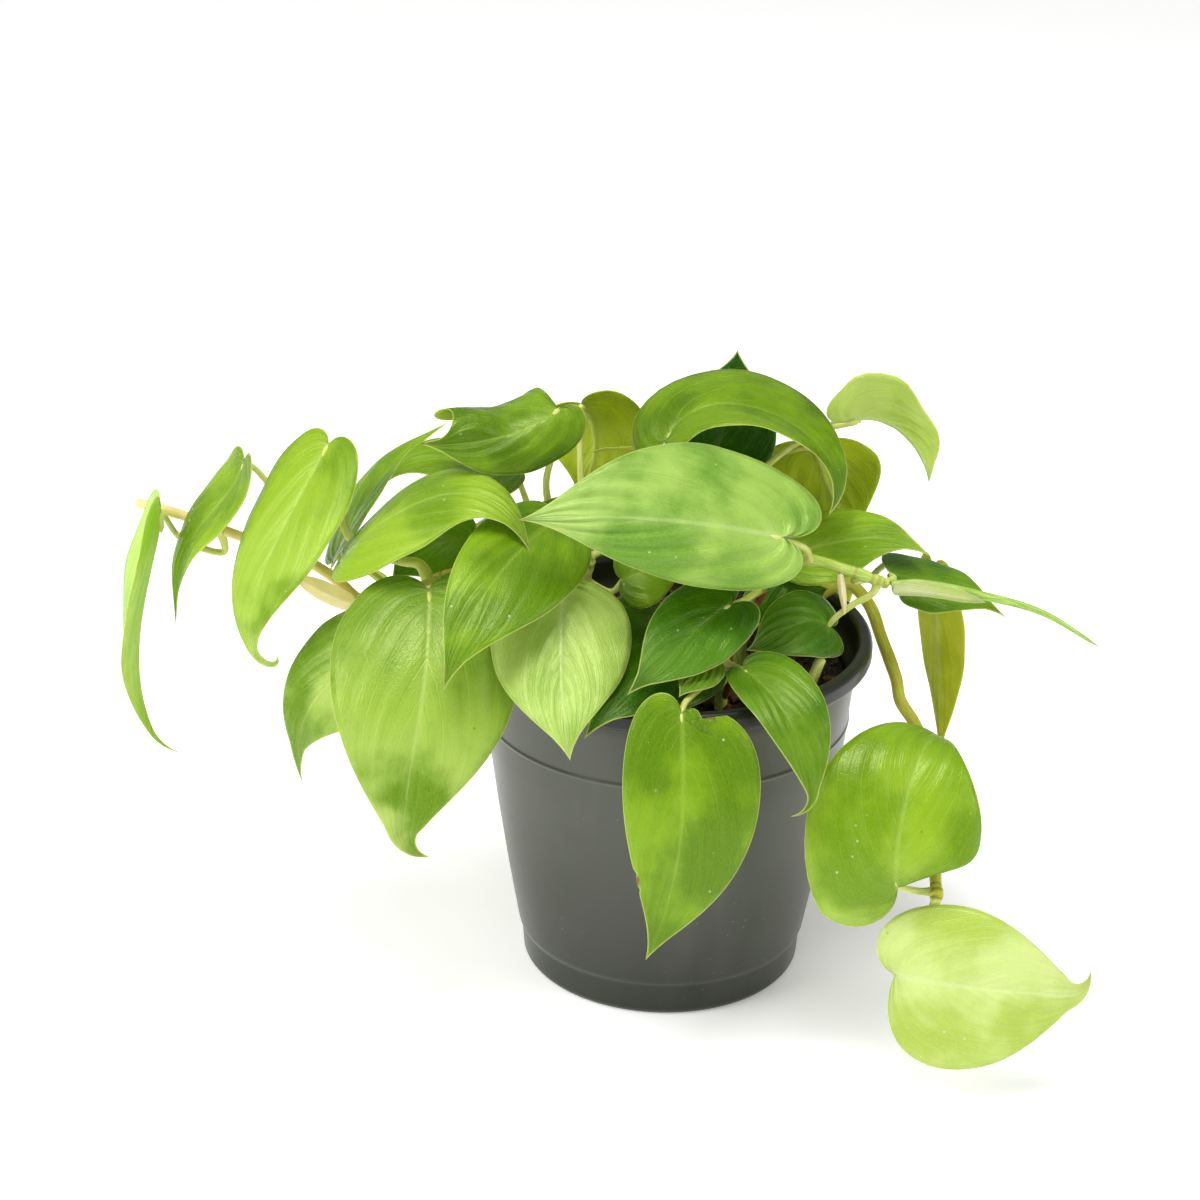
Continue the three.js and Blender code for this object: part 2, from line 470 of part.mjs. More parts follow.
// Outer wall from the foot up to the rim, then the lip and the inner wall back down
const outerWall = [
  [POT_FOOT_RADIUS, 0],
  [POT_FOOT_RADIUS + 1.6, 2],
  [POT_FOOT_RADIUS + 2.4, POT_STEP_HEIGHT - 1],
  [POT_BODY_FOOT_RADIUS, POT_STEP_HEIGHT + 1],
  [58.6, 38],
  [63, 66],
  [66.6, 92],
  [POT_SHOULDER_RADIUS, POT_SHOULDER_HEIGHT - 1],
  [POT_SHOULDER_RADIUS - 1.2, POT_SHOULDER_HEIGHT + 1],
  [POT_SHOULDER_RADIUS + 1.6, POT_RIM_UNDERSIDE - 2],
];
const rim = [
  [POT_RIM_RADIUS - 1, POT_RIM_UNDERSIDE],
  [POT_RIM_RADIUS, POT_RIM_UNDERSIDE + 1.2],
  [POT_RIM_RADIUS, POT_HEIGHT - 1.8],
  [POT_RIM_RADIUS - 1.4, POT_HEIGHT],
  [POT_LIP_INNER_RADIUS + 1.2, POT_HEIGHT],
];
const innerWall = outerWall.slice(3).reverse().map(([r, z]) => [r - POT_WALL, z]);
const potProfile = [
  [0, 0],
  ...outerWall,
  ...rim,
  [POT_LIP_INNER_RADIUS, POT_HEIGHT - 1.5],
  ...innerWall.slice(1),
  [POT_FOOT_RADIUS, POT_FLOOR + 1],
  [POT_FOOT_RADIUS - 1, POT_FLOOR],
  [0, POT_FLOOR],
];

let potSolid = turned(potProfile, POT_SEGMENTS);
for (let i = 0; i < DRAIN_HOLES; i += 1) {
  const angle = (2 * Math.PI * (i + 0.5)) / DRAIN_HOLES;
  const hole = new THREE.CylinderGeometry(DRAIN_HOLE_RADIUS, DRAIN_HOLE_RADIUS, 4 * POT_FLOOR, 10);
  hole.rotateX(Math.PI / 2);
  hole.translate(DRAIN_RING_RADIUS * Math.cos(angle), DRAIN_RING_RADIUS * Math.sin(angle), 0);
  potSolid = potSolid.subtract(fromGeometry(hole));
}
addNode('pot', potSolid, COLOURS.pot, 0.45);

// Lumps of soil and bark: a sum of sines over the place
function soilHeight(x, y) {
  const lumps = Math.sin(x * 0.31 + 1.3) * Math.cos(y * 0.27 + 0.4) + 0.6 * Math.sin(x * 0.73 - y * 0.58);
  const chips = Math.max(0, Math.sin(x * 0.9 + 2) * Math.sin(y * 0.8 - 1));
  return SOIL_LEVEL + SOIL_LUMP * (0.5 * lumps + 0.7 * chips);
}

function innerRadiusAt(z) {
  const wall = innerWall.slice().reverse();
  for (let i = 1; i < wall.length; i += 1) {
    if (z <= wall[i][1]) {
      const share = (z - wall[i - 1][1]) / (wall[i][1] - wall[i - 1][1]);
      return THREE.MathUtils.lerp(wall[i - 1][0], wall[i][0], share);
    }
  }
  return wall[wall.length - 1][0];
}

function soilBody() {
  const vertices = [];
  const faces = [];
  const edge = Math.cos(Math.PI / POT_SEGMENTS);
  const sides = [
    [POT_FOOT_RADIUS - 1.5, POT_FLOOR + GAP],
    ...innerWall.slice().reverse().filter(([, z]) => z > 20 && z < SOIL_LEVEL - 8).map(([r, z]) => [r * edge - GAP, z]),
  ];
  const topRadius = innerRadiusAt(SOIL_LEVEL - 4) * edge - GAP - 0.4;
  vertices.push(new THREE.Vector3(0, 0, POT_FLOOR + GAP));
  const ring = (radius, height) => {
    const start = vertices.length;
    for (let j = 0; j < SOIL_SECTORS; j += 1) {
      const angle = (2 * Math.PI * j) / SOIL_SECTORS;
      const x = radius * Math.cos(angle);
      const y = radius * Math.sin(angle);
      vertices.push(new THREE.Vector3(x, y, height === null ? soilHeight(x, y) : height));
    }
    return start;
  };
  const rings = sides.map(([r, z]) => ring(r * 0.998, z));
  rings.push(ring(topRadius, SOIL_LEVEL - 4));
  for (let i = SOIL_RINGS; i >= 1; i -= 1) {
    rings.push(ring((topRadius - 1.5) * (i / SOIL_RINGS), null));
  }
  const top = vertices.length;
  vertices.push(new THREE.Vector3(0, 0, soilHeight(0, 0)));
  for (let j = 0; j < SOIL_SECTORS; j += 1) {
    const k = (j + 1) % SOIL_SECTORS;
    faces.push([0, rings[0] + k, rings[0] + j]);
    for (let i = 0; i < rings.length - 1; i += 1) {
      const [a, b, c, d] = [rings[i] + j, rings[i] + k, rings[i + 1] + j, rings[i + 1] + k];
      faces.push([a, b, c], [b, d, c]);
    }
    const lastRing = rings[rings.length - 1];
    faces.push([lastRing + j, lastRing + k, top]);
  }
  return solidOf(vertices, faces);
}

let soil = soilBody();
for (const vine of VINES) {
  const { curve } = vineCurves.get(vine.name);
  const steps = Math.max(4, Math.round(curve.getLength() / 9));
  const hole = stem(curve, vine.radius.map((r) => r + GAP), VINE_SIDES, steps, GAP);
  soil = soil.subtract(hole);
  addNode(vine.name, stem(curve, vine.radius, VINE_SIDES, steps), COLOURS.vine, 0.5);
}
addNode('soil', soil, COLOURS.soil, 0.95);

for (const leaf of LEAVES) {
  addNode(leaf.name, blade(leaf, bladeRows(leaf)).add(petiole(leaf)), COLOURS.leaf, 0.4);
}
for (const sheath of SHEATHS) {
  addNode(sheath.name, blade(sheath, sheathRows()), COLOURS[sheath.colour], 0.6);
}
addNode(SHOOT.name, stem(smooth(SHOOT.path), SHOOT.radius, VINE_SIDES, 8), COLOURS.youngLeaf, 0.4);

export default group;
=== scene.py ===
"""Heartleaf philodendron in a nursery pot. The looks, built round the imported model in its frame."""

import math

import bmesh
import bpy
import numpy as np
from mathutils import Matrix, Vector


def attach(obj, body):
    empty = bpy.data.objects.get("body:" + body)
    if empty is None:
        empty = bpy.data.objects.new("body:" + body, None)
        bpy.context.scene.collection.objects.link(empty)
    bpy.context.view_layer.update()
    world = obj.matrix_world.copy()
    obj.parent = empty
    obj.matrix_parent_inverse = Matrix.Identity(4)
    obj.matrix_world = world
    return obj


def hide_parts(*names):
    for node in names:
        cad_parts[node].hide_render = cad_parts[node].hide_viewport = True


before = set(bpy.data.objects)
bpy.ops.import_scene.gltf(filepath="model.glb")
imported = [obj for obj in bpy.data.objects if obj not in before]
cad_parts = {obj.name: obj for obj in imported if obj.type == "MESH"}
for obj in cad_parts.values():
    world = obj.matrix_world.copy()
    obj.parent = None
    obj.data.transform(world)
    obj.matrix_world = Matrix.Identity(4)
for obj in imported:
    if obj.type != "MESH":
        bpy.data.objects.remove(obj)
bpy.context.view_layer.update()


# The setting: a seamless pale floor, a large soft light from the front left, one above and a weaker
# one on the right, and the camera where the photograph was taken from.
class Nodes:
    """A short way to add shader nodes and join them. An input is a value to set or a socket to link."""

    def __init__(self, tree):
        self.tree = tree

    def add(self, kind, inputs=(), output=0, **settings):
        """One node with its inputs set or linked; returns one of its outputs."""
        node = self.tree.nodes.new("ShaderNode" + kind)
        for key, value in settings.items():
            setattr(node, key, value)
        for key, value in dict(inputs).items():
            if isinstance(value, bpy.types.NodeSocket):
                self.tree.links.new(value, node.inputs[key])
            else:
                node.inputs[key].default_value = value
        return node.outputs[output]

    def place(self):
        """Where the surface lies, in metres."""
        return self.add("TexCoord", output="Object")

    def mark(self, name, output="Vector"):
        """A piece's point attribute: Vector for three numbers, Fac for one."""
        return self.add("Attribute", output=output, attribute_name=name)

    def stretch(self, vector, scale):
        """The vector's three numbers, each times its own scale."""
        return self.add("Mapping", {"Vector": vector, "Scale": scale})

    def noise(self, vector, scale, detail):
        """Fractal noise between 0 and 1, scale waves to a unit of the vector."""
        return self.add("TexNoise", {"Vector": vector, "Scale": scale, "Detail": detail})

    def cells(self, vector, scale, feature="F1"):
        """How far the nearest seed or cell wall is, in cells."""
        return self.add("TexVoronoi", {"Vector": vector, "Scale": scale}, output="Distance", feature=feature)

    def split(self, vector):
        """The three numbers of a vector."""
        return self.add("SeparateXYZ", {0: vector}).node.outputs

    def math(self, operation, *values, clamp=False):
        """One sum on the values, kept between 0 and 1 where clamped."""
        return self.add("Math", enumerate(values), operation=operation, use_clamp=clamp)

    def times(self, first, second):
        """The first times the second."""
        return self.math("MULTIPLY", first, second)

    def plus(self, first, second):
        """The first plus the second."""
        return self.math("ADD", first, second)

    def mix(self, share, first, second):
        """Goes from the first colour to the second as share goes from 0 to 1."""
        return self.add("Mix", {0: share, 6: first, 7: second}, output=2, data_type="RGBA")

    def band(self, value, low, high, out_low=0.0, out_high=1.0):
        """Smooth step of value from low to high, put out between out_low and out_high."""
        return self.add("MapRange", {0: value, 1: low, 2: high, 3: out_low, 4: out_high},
                        interpolation_type="SMOOTHSTEP")


FLOOR_SIZE = 5.0
FLOOR_COLOUR = (0.93, 0.93, 0.92, 1)
FLOOR_ROUGHNESS = 0.6
# the floor glows less near the pot's right side than further out, which paints a soft shadow there
FLOOR_GLOW_AND_PAINTED_SHADOW = (0.17, 0.48)
SHADOW_RADII = (0.045, 0.105)
SHADOW_SHIFT = (-0.055, -0.01, 0)
floor_mesh = bpy.data.meshes.new("floor")
floor_corners = [(x * FLOOR_SIZE, y * FLOOR_SIZE, 0) for x, y in ((-1, -1), (1, -1), (1, 1), (-1, 1))]
floor_mesh.from_pydata(floor_corners, [], [(0, 1, 2, 3)])
floor = bpy.data.objects.new("floor", floor_mesh)
bpy.context.scene.collection.objects.link(floor)
floor_material = bpy.data.materials.new("floor_white")
floor_material.use_nodes = True
floor_shader = floor_material.node_tree.nodes["Principled BSDF"]
floor_shader.inputs["Base Color"].default_value = FLOOR_COLOUR
floor_shader.inputs["Roughness"].default_value = FLOOR_ROUGHNESS
floor_shader.inputs["Emission Color"].default_value = (1, 1, 1, 1)
paint = Nodes(floor_material.node_tree)
from_shadow = paint.add("Mapping", {"Vector": paint.place(), "Location": SHADOW_SHIFT})
from_shadow = paint.add("VectorMath", {0: from_shadow}, output="Value", operation="LENGTH")
glow_with_painted_shadow = paint.band(from_shadow, *SHADOW_RADII, *FLOOR_GLOW_AND_PAINTED_SHADOW)
paint.tree.links.new(glow_with_painted_shadow, floor_shader.inputs["Emission Strength"])
floor_mesh.materials.append(floor_material)

SKY_STRENGTH = 0.34
world = bpy.data.worlds.new("studio")
world.use_nodes = True
world.node_tree.nodes["Background"].inputs["Color"].default_value = (1.0, 1.0, 1.0, 1)
world.node_tree.nodes["Background"].inputs["Strength"].default_value = SKY_STRENGTH
bpy.context.scene.world = world

# name, place, size, power in watts; each is aimed at the middle of the plant
LIGHTS = [
    ("light_key", (-1.5, -0.7, 1.3), 1.1, 20.0),
    ("light_top", (-0.1, -0.4, 1.9), 0.8, 20.5),
    ("light_right", (1.5, -0.6, 0.9), 1.0, 8.0),
]
PLANT_MIDDLE = Vector((0, 0, 0.12))
for light_name, spot, size, power in LIGHTS:
    lamp = bpy.data.lights.new(light_name, "AREA")
    lamp.size = size
    lamp.energy = power
    light = bpy.data.objects.new(light_name, lamp)
    light.location = spot
    light.rotation_euler = (PLANT_MIDDLE - Vector(spot)).to_track_quat("-Z", "Y").to_euler()
    bpy.context.scene.collection.objects.link(light)

CAMERA_EYE = Vector((-0.0257, -0.9532, 0.5614))
CAMERA_DOWN = math.radians(23.62)
CAMERA_ROLL = math.radians(1.11)
CAMERA_LENS = 85.0
CAMERA_FILM = 36.0
ahead = Vector((0, math.cos(CAMERA_DOWN), -math.sin(CAMERA_DOWN)))
level = Vector((1, 0, 0))
upright = level.cross(ahead)
camera_x = math.cos(CAMERA_ROLL) * level + math.sin(CAMERA_ROLL) * upright
camera_y = -math.sin(CAMERA_ROLL) * level + math.cos(CAMERA_ROLL) * upright
camera_data = bpy.data.cameras.new("camera")
camera_data.lens = CAMERA_LENS
camera_data.sensor_width = CAMERA_FILM
camera = bpy.data.objects.new("camera", camera_data)
camera_axes = Matrix((camera_x, camera_y, -ahead)).transposed()
camera.matrix_world = Matrix.Translation(CAMERA_EYE) @ camera_axes.to_4x4()
bpy.context.scene.collection.objects.link(camera)
bpy.context.scene.camera = camera
bpy.context.scene.view_settings.view_transform = "Standard"


# The pot: injection-moulded polypropylene, one wall about 2 mm thick, with a step above the foot,
# a shoulder ring where pots rest in each other, a rolled rim and six drain holes in the floor.
MM = 0.001


def new_piece(name, points, faces, materials, slot, replaced=None, kinds=None, smooth=True, **marks):
    """A mesh piece on the root body, from points in mm and faces of point numbers. kinds gives each
    face's material, and each of marks is kept as a point attribute of one or of three numbers."""
    mesh = bpy.data.meshes.new(name)
    mesh.from_pydata((np.asarray(points) * MM).tolist(), [], faces)
    for material in materials:
        mesh.materials.append(material)
    if kinds is not None:
        mesh.polygons.foreach_set("material_index", kinds)
    mesh.polygons.foreach_set("use_smooth", [smooth] * len(mesh.polygons))
    for mark, values in marks.items():
        values = np.asarray(values, float)
        form, key = ("FLOAT_VECTOR", "vector") if values.ndim == 2 else ("FLOAT", "value")
        mesh.attributes.new(mark, form, "POINT").data.foreach_set(key, values.ravel())
    mesh.update()
    piece = bpy.data.objects.new(name, mesh)
    bpy.context.scene.collection.objects.link(piece)
    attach(piece, "root")
    if replaced:
        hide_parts(replaced)
    return piece


def grid_faces(rows, columns, start=0, closed=False):
    """Quads between neighbouring rows of a grid of points; closed joins the last column to the first."""
    i, j = np.meshgrid(np.arange(rows - 1), np.arange(columns if closed else columns - 1), indexing="ij")
    k = (j + 1) % columns
    quads = np.stack([i * columns + j, i * columns + k, (i + 1) * columns + k, (i + 1) * columns + j], -1)
    return [tuple(quad) for quad in (quads.reshape(-1, 4) + start).tolist()]


def rounded(profile, radius):
    """Each inner corner of a profile becomes a quadratic Bezier arc that starts radius before it."""
    profile = np.asarray(profile, float)
    points = [profile[0]]
    for before, corner, after in zip(profile[:-2], profile[1:-1], profile[2:]):
        to_before, to_after = before - corner, after - corner
        reach = min(radius, 0.45 * np.linalg.norm(to_before), 0.45 * np.linalg.norm(to_after))
        first = corner + to_before / np.linalg.norm(to_before) * reach
        last = corner + to_after / np.linalg.norm(to_after) * reach
        for t in np.linspace(0, 1, 6):
            points.append((1 - t) ** 2 * first + 2 * t * (1 - t) * corner + t ** 2 * last)
    points.append(profile[-1])
    return np.array(points)


def join_seams(piece, distance=0.00002):
    """Merges points that lie on each other and turns every face outwards."""
    shape = bmesh.new()
    shape.from_mesh(piece.data)
    bmesh.ops.remove_doubles(shape, verts=shape.verts, dist=distance)
    bmesh.ops.recalc_face_normals(shape, faces=shape.faces)
    shape.to_mesh(piece.data)
    shape.free()


# radii and heights in mm
POT_FLOOR = 2.4
POT_WALL = 1.8
POT_CORNER = 1.1
POT_SEGMENTS = 144
OUTER_WALL = [(51, 0), (52.6, 2), (53.4, 13), (54.6, 15), (58.6, 38), (63, 66), (66.6, 92),
              (67.5, 101), (68.1, 102), (67.5, 103), (69.6, 124.5)]
RIM = [(74, 126.5), (75, 127.7), (75, 132.2), (73.6, 134), (70.8, 134), (69.6, 132.5)]
INNER_WALL = [(radius - POT_WALL, height) for radius, height in reversed(OUTER_WALL[3:-1])]
FLOOR_EDGE = [(52, POT_FLOOR + 1), (50, POT_FLOOR)]
FLOOR_RING = 44.0
FLOOR_HUB = 24.0
DRAIN_RING = 34.0
DRAIN_RADIUS = 4.0
DRAIN_HOLES = 6
turn = np.arange(POT_SEGMENTS) * 2 * np.pi / POT_SEGMENTS


def ring(radius, height):
    """A level circle of points, one for each angle of turn."""
    return np.stack([radius * np.cos(turn), radius * np.sin(turn), np.broadcast_to(height, turn.shape)], -1)


def drain_cell(height, sector):
    """A sixth of the floor between hub and ring: straight spokes from the hole's edge to the cell's."""
    middle = 2 * np.pi * (sector + 0.5) / DRAIN_HOLES
    half = np.pi / DRAIN_HOLES
    arc = np.linspace(-half, half, POT_SEGMENTS // DRAIN_HOLES + 1)
    side = FLOOR_HUB + (FLOOR_RING - FLOOR_HUB) * np.linspace(0, 1, 9)
    edge = np.concatenate([
        np.stack([FLOOR_RING * np.cos(arc), FLOOR_RING * np.sin(arc)], -1)[:-1],
        np.stack([side[::-1] * np.cos(half), side[::-1] * np.sin(half)], -1)[:-1],
        np.stack([FLOOR_HUB * np.cos(arc[::-1]), FLOOR_HUB * np.sin(arc[::-1])], -1)[:-1],
        np.stack([side * np.cos(half), -side * np.sin(half)], -1)[:-1]])
    from_hole = edge - [DRAIN_RING, 0]
    hole = [DRAIN_RING, 0] + DRAIN_RADIUS * from_hole / np.linalg.norm(from_hole, axis=1, keepdims=True)
    flat = hole + (edge - hole) * np.linspace(0, 1, 4)[:, None, None]
    c, s = np.cos(middle), np.sin(middle)
    turned = flat @ np.array([[c, s], [-s, c]])
    return np.concatenate([turned, np.full((*turned.shape[:2], 1), height)], -1)


pot_profile = rounded([(FLOOR_RING, 0), *OUTER_WALL, *RIM, *INNER_WALL, *FLOOR_EDGE,
                       (FLOOR_RING, POT_FLOOR)], POT_CORNER)
pot_points = np.concatenate([ring(*corner) for corner in pot_profile])
pot_faces = grid_faces(len(pot_profile), POT_SEGMENTS, closed=True)
for sector in range(DRAIN_HOLES):
    cell = np.concatenate([drain_cell(0.0, sector)[::-1], drain_cell(POT_FLOOR, sector)])
    pot_faces += grid_faces(*cell.shape[:2], start=len(pot_points), closed=True)
    pot_points = np.concatenate([pot_points, cell.reshape(-1, 3)])
for height in (0.0, POT_FLOOR):
    hub = len(pot_points)
    pot_points = np.concatenate([pot_points, ring(FLOOR_HUB, height), [[0, 0, height]]])
    pot_faces += [(hub + j, hub + (j + 1) % POT_SEGMENTS, hub + POT_SEGMENTS) for j in range(POT_SEGMENTS)]


def linear(code):
    """A colour written as six hex digits, in the linear values that sockets take."""
    values = np.array([int(code[i:i + 2], 16) for i in (0, 2, 4)]) / 255
    return (*np.where(values < 0.04045, values / 12.92, ((values + 0.055) / 1.055) ** 2.4), 1.0)


def new_group(name, colours, numbers):
    """A shader node group that takes colours and numbers, and puts out Color, Roughness and Height.
    Returns its Nodes and its inputs by name."""
    group = bpy.data.node_groups.new(name, "ShaderNodeTree")
    for key in (*colours, *numbers):
        form = "NodeSocketFloat" if key in numbers else "NodeSocketColor"
        group.interface.new_socket(key, in_out="INPUT", socket_type=form)
    for key, form in (("Color", "Color"), ("Roughness", "Float"), ("Height", "Float")):
        group.interface.new_socket(key, in_out="OUTPUT", socket_type="NodeSocket" + form)
    return Nodes(group), group.nodes.new("NodeGroupInput").outputs


def put_out(nodes, **sockets):
    """Links a group's named outputs."""
    ends = nodes.tree.nodes.new("NodeGroupOutput").inputs
    for key, socket in sockets.items():
        nodes.tree.links.new(socket, ends[key])


def material_with(name, group_name, values, constants, bump=0.0004):
    """Principled material whose colour, roughness and relief of bump metres come from a group. Text in
    values, the group's inputs, and in constants, the shader's own sockets, is a colour in hex."""
    material = bpy.data.materials.new(name)
    material.use_nodes = True
    tree = material.node_tree
    shader = tree.nodes["Principled BSDF"]
    group = tree.nodes.new("ShaderNodeGroup")
    group.node_tree = bpy.data.node_groups[group_name]
    tree.links.new(group.outputs["Color"], shader.inputs["Base Color"])
    tree.links.new(group.outputs["Roughness"], shader.inputs["Roughness"])
    relief = tree.nodes.new("ShaderNodeBump")
    relief.inputs["Distance"].default_value = bump
    tree.links.new(group.outputs["Height"], relief.inputs["Height"])
    tree.links.new(relief.outputs["Normal"], shader.inputs["Normal"])
    for node, sockets in ((group, values), (shader, constants)):
        for key, value in sockets.items():
            node.inputs[key].default_value = linear(value) if isinstance(value, str) else value
    return material


# Moulded plastic: a fine orange-peel skin, streaks of wear down the wall, dust and small specks, and
# painted light: the wall is painted paler towards the top, up to the rim.
plastic, given = new_group("moulded_plastic", ("Base", "Dust_and_light"), ("Gloss",))
on_pot = plastic.place()
drips = plastic.noise(plastic.stretch(on_pot, (60, 60, 9)), 1.0, 4.0)
clouds = plastic.noise(on_pot, 22.0, 5.0)
pimples = plastic.noise(on_pot, 1500.0, 2.0)
specks = plastic.band(plastic.cells(on_pot, 240.0), 0.10, 0.05)
specks = plastic.times(specks, plastic.band(clouds, 0.5, 0.62))
dust = plastic.times(plastic.band(clouds, 0.42, 0.68), plastic.band(drips, 0.35, 0.7))
up_wall = plastic.split(on_pot)[2]
# painted light: the wall is painted paler from the foot up to just under the rim top
painted_light_up_wall = plastic.times(plastic.band(up_wall, -0.02, 0.11), plastic.band(up_wall, 0.127, 0.120))
dust_and_painted_light = plastic.plus(plastic.times(dust, 0.10), plastic.times(painted_light_up_wall, 0.36))
put_out(plastic,
        Color=plastic.mix(plastic.times(specks, 0.55), plastic.mix(dust_and_painted_light, given["Base"], given["Dust_and_light"]),
                          given["Dust_and_light"]),
        Roughness=plastic.plus(given["Gloss"], plastic.times(dust, 0.12)),
        Height=plastic.plus(plastic.times(pimples, 0.12), plastic.times(clouds, 0.5)))
pot_material = material_with(
    "pot_plastic", "moulded_plastic",
    {"Base": (0.013, 0.016, 0.009, 1), "Dust_and_light": (0.20, 0.21, 0.165, 1), "Gloss": 0.30},
    {"Specular IOR Level": 0.36, "Coat Weight": 0.05, "Coat Roughness": 0.2})
join_seams(new_piece("pot_shell", pot_points, pot_faces, [pot_material], "pot", "pot"))


# The soil: dark peat compost filled to a finger's width below the rim, with bark chips, crumbs and
# a few grains of perlite pressed into its lumpy top. It fills the pot and holds the stems.
SOIL_LEVEL = 121.0
SOIL_LUMP = 2.6
SOIL_SIDE = [(49.2, 2.9), (56.3, 38), (60.7, 66), (64.3, 92), (64.5, 103), (65.9, 114)]
# where the top meets the wall, and how far in from there the lumps begin
EDGE_RADIUS, EDGE_HEIGHT, EDGE_WIDTH = 65.6, 117.0, 3.0
TOP_ROWS = 62
CHIP_RADIUS = 63.0
soil_draw = np.random.default_rng(11)
RIPPLES = [(0.35 / (1 + 0.5 * i), *soil_draw.normal(0, 0.55 + 0.25 * i, 2), soil_draw.uniform(0, 6.28))
           for i in range(9)]


def soil_height(x, y):
    """The model's lumps, a sum of sines over the place, with nine finer ripples of random direction."""
    lumps = np.sin(x * 0.31 + 1.3) * np.cos(y * 0.27 + 0.4) + 0.6 * np.sin(x * 0.73 - y * 0.58)
    chips = np.maximum(0, np.sin(x * 0.9 + 2) * np.sin(y * 0.8 - 1))
    ripples = sum(size * np.sin(kx * x + ky * y + phase) for size, kx, ky, phase in RIPPLES)
    return SOIL_LEVEL + SOIL_LUMP * (0.5 * lumps + 0.7 * chips) + ripples


soil_rows = [ring(*corner) for corner in SOIL_SIDE]
for radius in np.linspace(EDGE_RADIUS, 0.6, TOP_ROWS):
    inside = np.clip((EDGE_RADIUS - radius) / EDGE_WIDTH, 0, 1)
    top = soil_height(radius * np.cos(turn), radius * np.sin(turn))
    soil_rows.append(ring(radius, inside * top + (1 - inside) * EDGE_HEIGHT))
soil_points = np.concatenate([*soil_rows, [[0, 0, SOIL_SIDE[0][1]]], [[0, 0, soil_height(0.0, 0.0)]]])
soil_faces = grid_faces(len(soil_rows), POT_SEGMENTS, closed=True)
bottom, summit, last = len(soil_points) - 2, len(soil_points) - 1, (len(soil_rows) - 1) * POT_SEGMENTS
for j in range(POT_SEGMENTS):
    k = (j + 1) % POT_SEGMENTS
    soil_faces += [(bottom, k, j), (summit, last + j, last + k)]

# Earth: brown that darkens where it is wet, with pale fibres; Shade picks each chip's own brown.
FIBRE_BROWN = (0.30, 0.19, 0.10, 1)
earth, given = new_group("earth", ("Dark", "Light"), ("Shade",))
in_soil = earth.place()
clods = earth.noise(in_soil, 130.0, 6.0)
grit = earth.noise(in_soil, 900.0, 3.0)
fibres = earth.noise(earth.stretch(in_soil, (1.0, 0.16, 0.4)), 1100.0, 2.0)
lightness = earth.math("ADD", earth.times(earth.band(clods, 0.42, 0.68), 0.35), given["Shade"], clamp=True)
put_out(earth,
        Color=earth.mix(earth.times(earth.band(fibres, 0.60, 0.72), 0.35),
                        earth.mix(lightness, given["Dark"], given["Light"]), FIBRE_BROWN),
        Roughness=earth.band(clods, 0.3, 0.7, 0.62, 0.95),
        Height=earth.plus(grit, clods))


def earth_material(name, dark, light, shaded=False):
    """Earth between two browns. Where shaded, the point attribute shade lightens each chip."""
    material = material_with(name, "earth", {"Dark": (*dark, 1), "Light": (*light, 1), "Shade": 0.0},
                             {"Specular IOR Level": 0.35}, bump=0.0006)
    if shaded:
        tree = material.node_tree
        group = next(node for node in tree.nodes if node.type == "GROUP")
        tree.links.new(Nodes(tree).mark("shade", "Fac"), group.inputs["Shade"])
    return material


soil_material = earth_material("soil_peat", (0.012, 0.007, 0.004), (0.075, 0.042, 0.022))
new_piece("soil_bed", soil_points, soil_faces, [soil_material], "soil", "soil")

GOLDEN = (1 + 5 ** 0.5) / 2
LUMP_POINTS = np.array([(-1, GOLDEN, 0), (1, GOLDEN, 0), (-1, -GOLDEN, 0), (1, -GOLDEN, 0),
                        (0, -1, GOLDEN), (0, 1, GOLDEN), (0, -1, -GOLDEN), (0, 1, -GOLDEN),
                        (GOLDEN, 0, -1), (GOLDEN, 0, 1), (-GOLDEN, 0, -1), (-GOLDEN, 0, 1)]) / 1.9
LUMP_FACES = np.array([(0, 11, 5), (0, 5, 1), (0, 1, 7), (0, 7, 10), (0, 10, 11), (1, 5, 9), (5, 11, 4),
                       (11, 10, 2), (10, 7, 6), (7, 1, 8), (3, 9, 4), (3, 4, 2), (3, 2, 6), (3, 6, 8),
                       (3, 8, 9), (4, 9, 5), (2, 4, 11), (6, 2, 10), (8, 6, 7), (9, 8, 1)])


def scatter_lumps(draw, count, size, flatness, shades):
    """Uneven twelve-cornered lumps over the soil, each tilted a little and turned at random. size is
    the range of half lengths in mm, flatness that of height to length and shades that of brightness."""
    points, faces, values = [], [], []
    for n in range(count):
        radius = CHIP_RADIUS * math.sqrt(draw.uniform(0.0, 1.0))
        angle = draw.uniform(0, 2 * np.pi)
        length = draw.uniform(*size)
        scale = np.array([length, length * draw.uniform(0.45, 0.8), length * draw.uniform(*flatness)])
        tilt_x, tilt_y, spin = draw.normal(0, 0.35), draw.normal(0, 0.35), draw.uniform(0, 6.28)
        lump = LUMP_POINTS * draw.uniform(0.75, 1.2, (12, 1)) * scale
        turned = np.array(Matrix.Rotation(spin, 3, "Z") @ Matrix.Rotation(tilt_x, 3, "X")
                          @ Matrix.Rotation(tilt_y, 3, "Y"))
        x, y = radius * math.cos(angle), radius * math.sin(angle)
        points.append(lump @ turned.T + [x, y, soil_height(x, y) + 0.35 * scale[2]])
        faces.append(LUMP_FACES + 12 * n)
        values += [draw.uniform(*shades)] * 12
    return np.concatenate(points), [tuple(f) for f in np.concatenate(faces).tolist()], values


